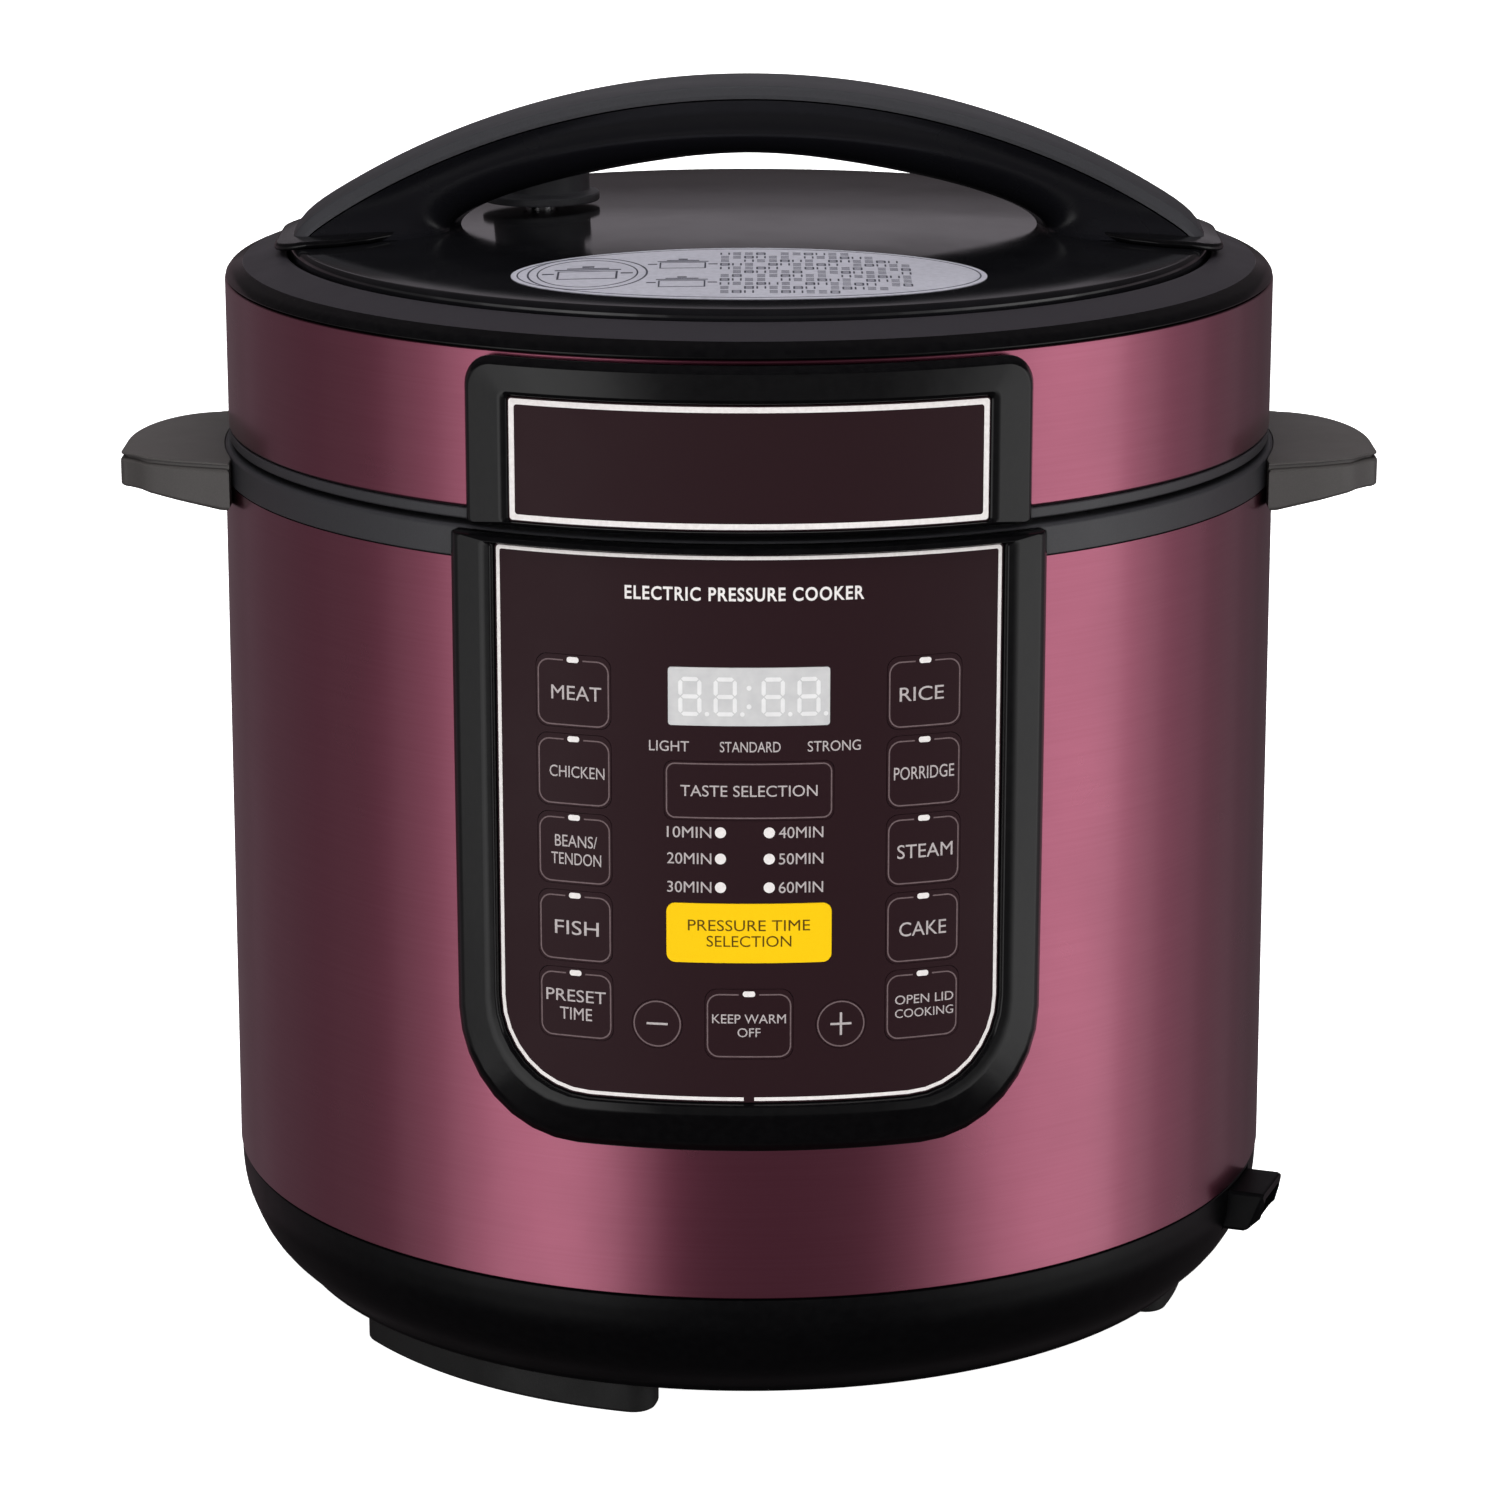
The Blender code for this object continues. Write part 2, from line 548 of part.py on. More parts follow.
# ---------------------------------------------------------------- condensation collector
def make_collector():
    """A bracket with two rails on the back of the body, and the cup that slides onto them."""
    plate = rounded_box(0.0345, 0.1680, 0.2228, 0.004, 0.002)
    bracket = bent_plate("collector_bracket", [plate], SHELL_R + 0.0008, SHELL_R + 0.0028, "satin_black", azimuth=180)
    rail_inner, rail_outer = CUP_HALF_WIDTH + 0.0008, CUP_HALF_WIDTH + 0.0060
    lip_half = CUP_HALF_WIDTH + 0.0055
    wall = 0.0016
    for side in (-1, 1):
        low_x, high_x = sorted((side * rail_inner, side * rail_outer))
        rail = box(f"rail_{side + 1}", (low_x, RAIL_FRONT_Y, CUP_TOP_Z - 0.0050),
                   (high_x, CUP_BACK_Y - 0.004, CUP_TOP_Z - 0.0020), "satin_black")
        combine(bracket, rail, "UNION")

    middle_y = (CUP_FRONT_Y + CUP_BACK_Y) / 2
    deep = (CUP_BACK_Y - CUP_FRONT_Y) / 2
    outside = moved(rounded_box(CUP_HALF_WIDTH, -deep, deep, 0.004, 0.006, 3), 0, middle_y)
    inside = moved(rounded_box(CUP_HALF_WIDTH - wall, -deep + wall, deep - wall, 0.0025, 0.0045, 3), 0, middle_y)
    lip = moved(rounded_box(lip_half, -deep, deep, 0.002, 0.006, 3), 0, middle_y)
    cup = level_plate("collector_cup", [outside], CUP_BOTTOM_Z, CUP_TOP_Z - 0.0006, "clear_cup")
    combine(cup, level_plate("cup_lip", [lip], CUP_TOP_Z - 0.0015, CUP_TOP_Z, "clear_cup"), "UNION")
    combine(cup, level_plate("cup_inside", [inside], CUP_BOTTOM_Z + wall, CUP_TOP_Z + 0.01, "clear_cup"),
            "DIFFERENCE")


# ---------------------------------------------------------------- lid
def dome_z(radius):
    """Height of the lid cover's upper face."""
    return COVER_TOP_Z - COVER_EDGE_DROP * (radius / COVER_EDGE_R) ** 2


def make_lid_shells():
    turned("lid_lip_ring", [
        (0.1360, 0.2700), (0.1360, 0.2366), (LID_R, 0.2366), (LID_R, SEAM_Z + 0.0006), (0.1335, SEAM_Z + 0.0006),
        (0.1335, 0.2700),
    ], "satin_black")
    turned("lid_band", [
        (LID_R, LID_BAND_TOP_Z), (LID_R, 0.2369), (LID_R - 0.0009, 0.2369), (LID_R - 0.0009, LID_BAND_TOP_Z),
    ], "burgundy_steel")
    turned("lid_top_ring", [
        (0.1210, 0.2832), (0.1328, 0.2797), (0.1362, 0.2782), (LID_R, 0.2764), (0.1361, 0.2763), (0.1361, 0.2705),
        (0.1325, 0.2705), (0.1325, 0.2758), (0.1210, 0.2790),
    ], "dark_ring")
    radii = [0, 0.050, 0.090, COVER_EDGE_R]
    top = [(r, dome_z(r)) for r in radii]
    under = [(r, dome_z(r) - 0.0026) for r in reversed(radii[:-1])]
    cover = turned("lid_cover", top + [
        (0.1204, 0.2844), (0.1204, 0.2780), (0.1182, 0.2780), (0.1182, dome_z(0.1182) - 0.0026),
    ] + under, "gloss_black")
    for at, radius in ((VALVE_AT, 0.0056), (FLOAT_AT, 0.0031)):
        combine(cover, hole_cutter("cover_hole", at, radius), "DIFFERENCE")


def hole_cutter(name, at, radius):
    return turned(name, [(0, 0.300), (radius, 0.300), (radius, 0.240), (0, 0.240)], "steel", SMALL_STEPS, (*at, 0))


def make_inner_lid():
    inner_lid = turned("inner_lid", [
        (0, 0.2620), (0.0950, 0.2620), (0.1050, 0.2574), (0.1190, 0.2526), (0.1306, 0.2526), (0.1316, 0.2516),
        (0.1316, 0.2345), (LID_SKIRT_R, 0.2345), (LID_SKIRT_R, 0.2362), (LID_SKIRT_R, 0.2366),
        (LID_SKIRT_R, 0.2511), (0.1186, 0.2511), (0.1046, 0.2559), (0.0946, 0.2605), (0, 0.2605),
    ], "steel", LUG_STEPS)
    grow_lugs(inner_lid, LID_SKIRT_R, LID_LUG_TIP_R, 0.2340, 0.2364)
    for at, radius in ((VALVE_AT, 0.0047), (FLOAT_AT, 0.0031)):
        combine(inner_lid, hole_cutter("inner_lid_hole", at, radius), "DIFFERENCE")
    turned("sealing_ring", [
        (0.1168, 0.2498), (0.1172, 0.2402), (0.1140, 0.2390), (0.1094, 0.2396), (0.1140, 0.2424), (0.1100, 0.2498),
    ], "silicone")
    turned("seal_support_ring", [
        (0.1078, 0.2440), (0.1078, 0.2416), (0.1050, 0.2416), (0.1050, 0.2440),
    ], "steel", HIDDEN_STEPS)


def make_valves():
    x, y = VALVE_AT
    turned("vent_pipe", [
        (0.0030, 0.2990), (0.0042, 0.2975), (0.0042, 0.2520), (0.0020, 0.2520), (0.0020, 0.2990),
    ], "steel", SMALL_STEPS, (x, y, 0))
    turned("anti_block_cap", [
        (0, 0.2484), (0.0098, 0.2484), (0.0098, 0.2596), (0.0112, 0.2596), (0.0112, 0.2470), (0, 0.2470),
    ], "steel", SMALL_STEPS, (x, y, 0))
    turned("pressure_valve", [
        (0, 0.3125), (0.0090, 0.3125), (0.0104, 0.3112), (0.0104, 0.3080), (0.0130, 0.3074), (0.0130, 0.3050),
        (0.0112, 0.3044), (0.0112, 0.3004), (0.0131, 0.2996), (0.0131, 0.2922), (0.0158, 0.2916),
        (0.0158, 0.2895), (0.0050, 0.2895), (0.0050, 0.2996), (0, 0.2996),
    ], "satin_black", SMALL_STEPS, (x, y, 0))
    float_top = dome_z(hypot(*FLOAT_AT))
    turned("float_valve", [
        (0, float_top + 0.0016), (0.0036, float_top + 0.0012), (0.0040, float_top + 0.0005),
        (0.0026, float_top + 0.0005), (0.0026, 0.2546), (0.0048, 0.2546), (0.0048, 0.2532), (0, 0.2532),
    ], "steel", 20, (*FLOAT_AT, 0))
    turned("float_gasket", [
        (0.0050, 0.2561), (0.0050, 0.2549), (0.0029, 0.2549), (0.0029, 0.2561),
    ], "silicone", 20, (*FLOAT_AT, 0))


def make_lid_handle():
    """An arch over the lid: a thin cap along the top line, and the body of the grip below it."""
    centre_z = TOTAL_HEIGHT - HANDLE_ARC_R
    body_arc_r = HANDLE_ARC_R - CAP_THICKNESS - CLEARANCE
    gap = 0.0005

    def top_line(arc_r, low_x, high_x, steps):
        xs = [low_x + (high_x - low_x) * i / steps for i in range(steps + 1)]
        return [(x, centre_z + sqrt(arc_r ** 2 - x ** 2)) for x in xs]

    def foot_line(low_x, high_x, steps):
        xs = [low_x + (high_x - low_x) * i / steps for i in range(steps + 1)]
        return [(x, dome_z(abs(x)) + gap) for x in xs]

    cap_foot_x = 0.1136
    cap = top_line(HANDLE_ARC_R, -HANDLE_HALF_SPAN, HANDLE_HALF_SPAN, 24)
    cap += foot_line(HANDLE_HALF_SPAN, cap_foot_x, 2)
    cap += top_line(HANDLE_ARC_R - CAP_THICKNESS, cap_foot_x - 0.0006, -cap_foot_x + 0.0006, 22)
    cap += foot_line(-cap_foot_x, -HANDLE_HALF_SPAN, 2)
    shell = upright_plate("handle_cap", [cap[::-1]], HANDLE_HALF_DEPTH, "gloss_black")
    soften(shell, 0.0016, 60)

    body_foot_x, opening_x = 0.1118, 0.0735
    grip_arc_r = 0.2030
    grip_centre_z = TOTAL_HEIGHT - HANDLE_GRIP - grip_arc_r
    under = [(x, grip_centre_z + sqrt(grip_arc_r ** 2 - x ** 2)) for x in [i * 0.068 / 7 for i in range(-7, 8)]]
    opening = [(-opening_x, dome_z(opening_x) + gap), (-opening_x, 0.2930)] + under + [
        (opening_x, 0.2930), (opening_x, dome_z(opening_x) + gap)]
    body = top_line(body_arc_r, body_foot_x, -body_foot_x, 22)
    body += foot_line(-body_foot_x, -opening_x - 0.012, 2) + opening + foot_line(opening_x + 0.012, body_foot_x, 2)
    grip = upright_plate("lid_handle", [body], HANDLE_HALF_DEPTH, "satin_black")
    soften(grip, 0.0016, 60)


def make_badge():
    """The blank badge on the lid's front, which continues the key panel upwards."""
    gap = CLEARANCE
    field = rounded_box(BADGE_FIELD_HALF, BADGE_FIELD_LOW, BADGE_FIELD_HIGH, 0.0010, 0.0010, 1)
    outline = rounded_box(BADGE_HALF, BADGE_LOW, BADGE_HIGH, 0.0010, BADGE_CORNER, 4)
    frame = [outline, grown_about(field, (BADGE_FIELD_LOW + BADGE_FIELD_HIGH) / 2, gap)]
    bent_plate("badge_frame", frame, LID_R + 0.0005, 0.1425, "gloss_black")
    bent_plate("badge_plate", [field], 0.1400, 0.1416, "film_brown")


def grown_about(outline, height, amount):
    return moved(grown(moved(outline, 0, -height), amount), 0, height)


def main():
    make_base()
    make_body()
    make_panel()
    make_heating_unit()
    make_inner_pot()
    make_collector()
    make_lid_shells()
    make_inner_lid()
    make_valves()
    make_lid_handle()
    make_badge()


main()
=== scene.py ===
"""Looks of the electric pressure cooker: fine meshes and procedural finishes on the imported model's bodies.

Pieces are made in the frame of the cooker's own upright axis, in metres: the front is -Y, heights are above
the floor, and the object of each piece stands on that axis. Plates on the front are drawn flat, as (length
along the arc, height, height over the surface), and are then bent round the axis.
"""

import json
from math import atan2, cos, exp, hypot, pi, radians, sin, sqrt, tan

import bmesh
import bpy
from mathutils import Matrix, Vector

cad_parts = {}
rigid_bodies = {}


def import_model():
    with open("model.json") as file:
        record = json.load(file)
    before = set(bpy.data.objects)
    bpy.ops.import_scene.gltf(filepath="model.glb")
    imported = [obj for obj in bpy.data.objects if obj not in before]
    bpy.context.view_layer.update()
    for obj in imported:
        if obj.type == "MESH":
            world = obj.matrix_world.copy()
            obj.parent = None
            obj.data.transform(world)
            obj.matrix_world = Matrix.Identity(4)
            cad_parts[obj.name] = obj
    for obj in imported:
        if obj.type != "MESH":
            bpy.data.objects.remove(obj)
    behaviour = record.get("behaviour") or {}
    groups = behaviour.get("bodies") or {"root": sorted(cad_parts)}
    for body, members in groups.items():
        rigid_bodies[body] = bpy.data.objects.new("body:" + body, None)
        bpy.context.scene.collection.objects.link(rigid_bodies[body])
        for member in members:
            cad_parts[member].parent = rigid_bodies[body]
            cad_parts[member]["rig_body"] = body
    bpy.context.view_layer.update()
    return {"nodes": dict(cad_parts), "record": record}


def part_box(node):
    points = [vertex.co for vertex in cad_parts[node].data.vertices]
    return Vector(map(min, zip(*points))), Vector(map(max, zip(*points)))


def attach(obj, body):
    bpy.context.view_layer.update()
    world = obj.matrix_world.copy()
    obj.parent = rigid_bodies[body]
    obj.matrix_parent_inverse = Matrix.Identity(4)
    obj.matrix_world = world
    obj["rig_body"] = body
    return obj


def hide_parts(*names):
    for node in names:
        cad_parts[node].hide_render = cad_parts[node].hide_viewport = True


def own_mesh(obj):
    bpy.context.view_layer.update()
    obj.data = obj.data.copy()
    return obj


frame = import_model()


def low(node):
    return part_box(node)[0]


def high(node):
    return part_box(node)[1]


def heights(node):
    return low(node).z, high(node).z


def middle_of(node):
    """Where a node's middle stands, seen from above, from the cooker's axis."""
    lowest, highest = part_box(node)
    return (lowest.x + highest.x) / 2, (lowest.y + highest.y) / 2 - AXIS_Y


def arc_half(node, radius):
    """Half the length of a bent plate along the arc, at FILM_R."""
    return FILM_R * atan2(high(node).x, sqrt(radius ** 2 - high(node).x ** 2))


# ---------------------------------------------------------------- sizes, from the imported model
AXIS_Y = (low("lid_cover").y + high("lid_cover").y) / 2
SHELL_R = high("outer_shell").x
SHELL_LOW, SHELL_HIGH = heights("outer_shell")
COLLAR_R, COLLAR_TOP = high("collar_ring").x, high("collar_ring").z
INLET_LOW, INLET_HIGH = heights("mains_inlet")
SIDE_TIP = high("side_handle_right").x
LID_R = high("lid_band").x
LIP_LOW = low("lid_lip_ring").z
BAND_LOW, BAND_HIGH = heights("lid_band")
RIM_R, COVER_TOP = high("lid_cover").x, high("lid_cover").z
TOTAL_HEIGHT = high("handle_cap").z
VALVE_AT = middle_of("pressure_valve")
FLOAT_AT = middle_of("float_valve")
FILM_R = AXIS_Y - low("panel_film").y
FRAME_R = AXIS_Y - low("panel_frame").y
FILM_LOW, FILM_HIGH = heights("panel_film")
FRAME_LOW, FRAME_HIGH = heights("panel_frame")
FILM_HALF = arc_half("panel_film", FILM_R)
FRAME_HALF = arc_half("panel_frame", FRAME_R)

# ---------------------------------------------------------------- sizes of this model's own
SHELL_TAPER, SHELL_WALL = 0.0008, 0.0007
SHELL_ROWS = 24             # so many rows that the window's cut leaves the shading alone
FEET = (("foot_front_left", -35.5), ("foot_right", 89.5), ("foot_rear_left", 207))
INLET_AZIMUTH = 70
INLET_HALF = 0.01
CREASE_R, CREASE_Z = 0.1328, 0.2797
COVER_EDGE_R = 0.119
COVER_DROP = 0.0038         # from the cover's middle to its edge
COVER_WALL = 0.0026
FRAME_CORNER, FILM_CORNER, SHARP_CORNER = 0.032, 0.0235, 0.001
FILM_WALL = 0.0012


LATHE_STEPS = 192
SMALL_STEPS = 72
BEND_STEP = 0.0025          # a bent plate is cut into strips this long
INK = 0.00006               # a printed mark's thickness
SEAM = 0.00012              # gap seen between a key and the film round it

COLLECTION = bpy.data.collections.new("cooker_looks")
bpy.context.scene.collection.children.link(COLLECTION)


# ---------------------------------------------------------------- finishes
def linear(*rgb):
    """A 0-255 screen colour as the linear colour that shaders take."""
    shares = [c / 255 for c in rgb]
    return [c / 12.92 if c <= 0.04045 else ((c + 0.055) / 1.055) ** 2.4 for c in shares]


# name: darker and lighter screen colour, roughness range, metallic, pattern, pattern scale, relief depth
PRINT = ((0.46, 0.56), 0.0, "cloudy", 900, 0.000002)
SATIN = (0.0, "grainy", 2600, 0.00002)
FINISHES = {
    "burgundy_steel": ((147, 74, 97), (151, 78, 101), (0.27, 0.32), 1.0, "brushed", 1500, 0.000001),
    "gloss_black": ((5, 5, 6), (9, 9, 10), (0.13, 0.22), 0.0, "cloudy", 420, 0.000012),
    "base_black": ((5, 5, 6), (8, 8, 9), (0.3, 0.4), 0.0, "cloudy", 420, 0.000012),
    "paddle_black": ((62, 60, 59), (70, 67, 66), (0.44, 0.54), *SATIN),
    "satin_black": ((42, 42, 45), (50, 50, 53), (0.4, 0.5), *SATIN),
    "handle_black": ((10, 10, 13), (15, 15, 18), (0.22, 0.3), 0.0, "grainy", 2200, 0.000008),
    "dark_ring": ((36, 34, 38), (44, 42, 46), (0.38, 0.46), 0.0, "grainy", 2400, 0.00001),
    "cover_black": ((10, 10, 12), (15, 15, 17), (0.07, 0.13), 0.0, "cloudy", 60, 0.00001),
    "film_brown": ((38, 22, 26), (41, 24, 28), (0.42, 0.52), 0.0, "grainy", 5200, 0.000004),
    "key_yellow": ((246, 199, 12), (250, 205, 20), (0.36, 0.44), 0.0, "grainy", 5200, 0.000004),
    "display_grey": ((198, 198, 199), (207, 207, 207), (0.2, 0.28), 0.0, "cloudy", 300, 0.000003),
    "display_lit": ((226, 226, 226), (234, 234, 234), (0.3, 0.38), 0.0, "cloudy", 300, 0.000002),
    "steel": ((176, 176, 178), (205, 205, 207), (0.22, 0.36), 1.0, "brushed", 1800, 0.000006),
    "cast_aluminium": ((150, 150, 152), (188, 188, 190), (0.38, 0.52), 1.0, "grainy", 900, 0.00004),
    "pot_coating": ((40, 40, 42), (58, 58, 60), (0.34, 0.46), 0.2, "speckled", 1500, 0.000015),
    "pot_outside": ((120, 121, 124), (150, 151, 154), (0.3, 0.42), 1.0, "brushed", 1500, 0.000006),
    "silicone": ((214, 213, 206), (228, 227, 221), (0.46, 0.58), 0.0, "cloudy", 220, 0.000015),
    "circuit_green": ((18, 84, 44), (30, 112, 60), (0.34, 0.5), 0.0, "speckled", 500, 0.00003),
    "clear_cup": ((186, 190, 196), (206, 210, 216), (0.1, 0.18), 0.0, "cloudy", 160, 0.00001),
    "rubber": ((11, 11, 11), (18, 18, 18), (0.6, 0.78), 0.0, "grainy", 1600, 0.000045),
    "brass": ((196, 158, 86), (216, 180, 108), (0.22, 0.34), 1.0, "brushed", 1400, 0.000005),
    "print_white": ((226, 221, 219), (238, 234, 232), *PRINT),
    "print_grey": ((176, 168, 168), (188, 180, 180), *PRINT),
    "print_line": ((104, 88, 90), (114, 98, 100), *PRINT),
    "print_dark": ((86, 62, 14), (96, 70, 18), *PRINT),
    "print_label": ((52, 52, 62), (64, 64, 74), *PRINT),
    "label_silver": ((176, 175, 186), (190, 189, 200), (0.32, 0.42), 0.2, "cloudy", 600, 0.000003),
}
DULL, HALF_DULL = {"Specular IOR Level": 0.12}, {"Specular IOR Level": 0.3}
SHADER_VALUES = {
    "burgundy_steel": {"Coat Weight": 0.6, "Coat Roughness": 0.16},
    "clear_cup": {"Transmission Weight": 0.75},
    "silicone": {"Subsurface Weight": 0.25, "Subsurface Scale": 0.004},
    "gloss_black": HALF_DULL, "handle_black": HALF_DULL,
    "base_black": DULL, "film_brown": DULL, "key_yellow": DULL,
    "print_white": DULL, "print_grey": DULL, "print_line": DULL, "print_dark": DULL, "print_label": DULL,
}
NOISE_DETAIL = {"brushed": 3.0, "cloudy": 2.0, "grainy": 4.0, "speckled": 2.0}
BRUSHED_ALONG = 24          # a brushed pattern's scale along its lines
CLOUDS = 34                 # the scale of the slow clouds in the roughness


def set_inputs(tree, node, values, links):
    """Set a shader node's inputs: constant values, and links from other nodes' outputs."""
    for socket, value in values.items():
        node.inputs[socket].default_value = value
    for socket, output in links.items():
        tree.links.new(output, node.inputs[socket])
    return node


def add_node(tree, kind, values, links):
    return set_inputs(tree, tree.nodes.new("ShaderNode" + kind), values, links)


def pattern_vector(tree, pattern, scale):
    """Where a pattern is read: the object's own coordinates. Brushing runs round the axis, as on a lathe."""
    vector, scales = add_node(tree, "TexCoord", {}, {}).outputs["Object"], (scale, scale, scale)
    if pattern == "brushed":
        split = add_node(tree, "SeparateXYZ", {}, {"Vector": vector}).outputs
        flat = {"X": split["X"], "Y": split["Y"]}
        level = add_node(tree, "CombineXYZ", {}, flat).outputs["Vector"]
        radius = add_node(tree, "VectorMath", {}, {0: level})
        radius.operation = "LENGTH"
        across = add_node(tree, "Math", {}, {0: radius.outputs["Value"], 1: split["Z"]}).outputs["Value"]
        vector = add_node(tree, "CombineXYZ", {}, {**flat, "Z": across}).outputs["Vector"]
        scales = (BRUSHED_ALONG, BRUSHED_ALONG, scale)
    return add_node(tree, "Mapping", {"Scale": scales}, {"Vector": vector}).outputs["Vector"]


def noise(tree, vector, detail):
    values = {"Scale": 1.0, "Detail": detail, "Roughness": 0.6}
    return add_node(tree, "TexNoise", values, {"Vector": vector}).outputs["Fac"]


def finish(name):
    """The procedural material of that name. A pattern drives colour and relief, slow clouds the roughness."""
    found = bpy.data.materials.get("finish_" + name)
    if found:
        return found
    dark, light, rough, metallic, pattern, scale, relief = FINISHES[name]
    made = bpy.data.materials.new("finish_" + name)
    made.use_nodes = True
    tree = made.node_tree
    fine = noise(tree, pattern_vector(tree, pattern, scale), NOISE_DETAIL[pattern])
    ramp = add_node(tree, "ValToRGB", {}, {"Fac": fine})
    stops = ramp.color_ramp.elements
    stops[0].position, stops[1].position = 0.32, 0.68
    stops[0].color, stops[1].color = (*linear(*dark), 1), (*linear(*light), 1)
    if pattern == "speckled":
        stops.new(0.74).color = [min(1.0, 3.2 * c) for c in linear(*light)] + [1]
    spread = add_node(
        tree, "MapRange", {"From Min": 0.3, "From Max": 0.7, "To Min": rough[0], "To Max": rough[1]},
        {"Value": noise(tree, pattern_vector(tree, "cloudy", CLOUDS), 3.0)})
    bump = add_node(tree, "Bump", {"Strength": 1.0, "Distance": relief}, {"Height": fine})
    set_inputs(tree, tree.nodes["Principled BSDF"], {"Metallic": metallic, **SHADER_VALUES.get(name, {})}, {
        "Base Color": ramp.outputs["Color"], "Roughness": spread.outputs["Result"],
        "Normal": bump.outputs["Normal"]})
    return made


# ---------------------------------------------------------------- pieces
def piece(name, mesh, body, surface, replaces=(), smooth=40, weighted=True):
    """Make a mesh a piece of the object: it rides on a body and may stand for CAD nodes."""
    mesh.name = name
    obj = bpy.data.objects.new(name, mesh)
    obj.location = (0, AXIS_Y, 0)
    COLLECTION.objects.link(obj)
    surfaces = [surface] if isinstance(surface, str) else surface
    mesh.materials.clear()
    for each in surfaces:
        mesh.materials.append(finish(each))
    mesh.shade_smooth()
    mesh.set_sharp_from_angle(angle=radians(smooth))
    if weighted:
        modifier = obj.modifiers.new("flat_faces_stay_flat", "WEIGHTED_NORMAL")
        modifier.keep_sharp = True
        modifier.weight = 100
    if replaces:
        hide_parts(*replaces)
    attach(obj, body)
    return obj


def to_mesh(shape):
    mesh = bpy.data.meshes.new("piece")
    shape.to_mesh(mesh)
    shape.free()
    return mesh


def join(shape, part):
    """Add a part to a shape, and free the part."""
    mesh = to_mesh(part)
    shape.from_mesh(mesh)
    bpy.data.meshes.remove(mesh)


def cut_away(obj, cutter_shape):
    """Cut a closed shape out of a piece."""
    cutter = bpy.data.objects.new("cutter", to_mesh(cutter_shape))
    cutter.location = (0, AXIS_Y, 0)
    COLLECTION.objects.link(cutter)
    cut = obj.modifiers.new("cut", "BOOLEAN")
    cut.operation = "DIFFERENCE"
    cut.object = cutter
    obj.modifiers.move(len(obj.modifiers) - 1, 0)
    others = [modifier for modifier in obj.modifiers if modifier != cut]
    for modifier in others:
        modifier.show_viewport = False
    bpy.context.view_layer.update()
    graph = bpy.context.evaluated_depsgraph_get()
    obj.data = bpy.data.meshes.new_from_object(obj.evaluated_get(graph))
    obj.modifiers.remove(cut)
    for modifier in others:
        modifier.show_viewport = True
    bpy.data.objects.remove(cutter, do_unlink=True)


# ---------------------------------------------------------------- turned shapes and lofts
def rounded(corners, closed, steps=4):
    """Round a profile's corners. A corner is (radius, height) or (radius, height, fillet)."""
    points = []
    count = len(corners)
    for i, corner in enumerate(corners):
        at = corner[:2]
        fillet = corner[2] if len(corner) > 2 else 0
        if not fillet or (not closed and i in (0, count - 1)):
            points.append(at)
            continue
        before, after = corners[i - 1][:2], corners[(i + 1) % count][:2]
        to_before = (before[0] - at[0], before[1] - at[1])
        to_after = (after[0] - at[0], after[1] - at[1])
        back, ahead = hypot(*to_before), hypot(*to_after)
        reach = min(fillet, 0.48 * back, 0.48 * ahead)
        start = (at[0] + to_before[0] / back * reach, at[1] + to_before[1] / back * reach)
        end = (at[0] + to_after[0] / ahead * reach, at[1] + to_after[1] / ahead * reach)
        for k in range(steps + 1):
            t = k / steps
            points.append(tuple(
                (1 - t) ** 2 * start[j] + 2 * t * (1 - t) * at[j] + t ** 2 * end[j] for j in (0, 1)))
    return points


def loft(rings, closed=False, caps=True):
    """A skin over rings of equal point count. Closed joins the last to the first; caps fill both ends."""
    shape = bmesh.new()
    rows = [[shape.verts.new(point) for point in ring] for ring in rings]
    count = len(rings[0])
    pairs = list(zip(rows, rows[1:]))
    if closed:
        pairs.append((rows[-1], rows[0]))
    for one, other in pairs:
        for i in range(count):
            j = (i + 1) % count
            shape.faces.new((one[i], one[j], other[j], other[i]))
    if caps and not closed:
        shape.faces.new(rows[0])
        shape.faces.new(rows[-1])
    bmesh.ops.remove_doubles(shape, verts=shape.verts, dist=0.0000005)
    bmesh.ops.recalc_face_normals(shape, faces=shape.faces)
    return shape


def turned_shape(corners, steps, at=(0, 0)):
    """Turn a profile. It is closed into a ring unless it starts and ends on the axis."""
    ring = min(corner[0] for corner in corners) > 0
    profile = rounded(corners, ring)
    rings = []
    for radius, z in profile:
        rings.append([
            (at[0] + radius * sin(2 * pi * k / steps), at[1] - radius * cos(2 * pi * k / steps), z)
            for k in range(steps)])
    return loft(rings, closed=ring, caps=False)


def turned(name, corners, body, surface, replaces=(), steps=LATHE_STEPS, at=(0, 0), smooth=40):
    return piece(name, to_mesh(turned_shape(corners, steps, at)), body, surface, replaces, smooth)


def drill(obj, valve_hole, float_hole, bottom, top):
    """Drill the holes for the pressure valve and the float valve through a piece of the lid."""
    for at, radius in ((VALVE_AT, valve_hole), (FLOAT_AT, float_hole)):
        cut_away(obj, turned_shape([(0, top), (radius, top), (radius, bottom), (0, bottom)], 48, at))


# ---------------------------------------------------------------- flat outlines, bent round the axis
def corner_arc(centre, radius, start, steps):
    angles = [radians(start + 90 * k / steps) for k in range(steps + 1)]
    return [(centre[0] + radius * cos(a), centre[1] + radius * sin(a)) for a in angles]


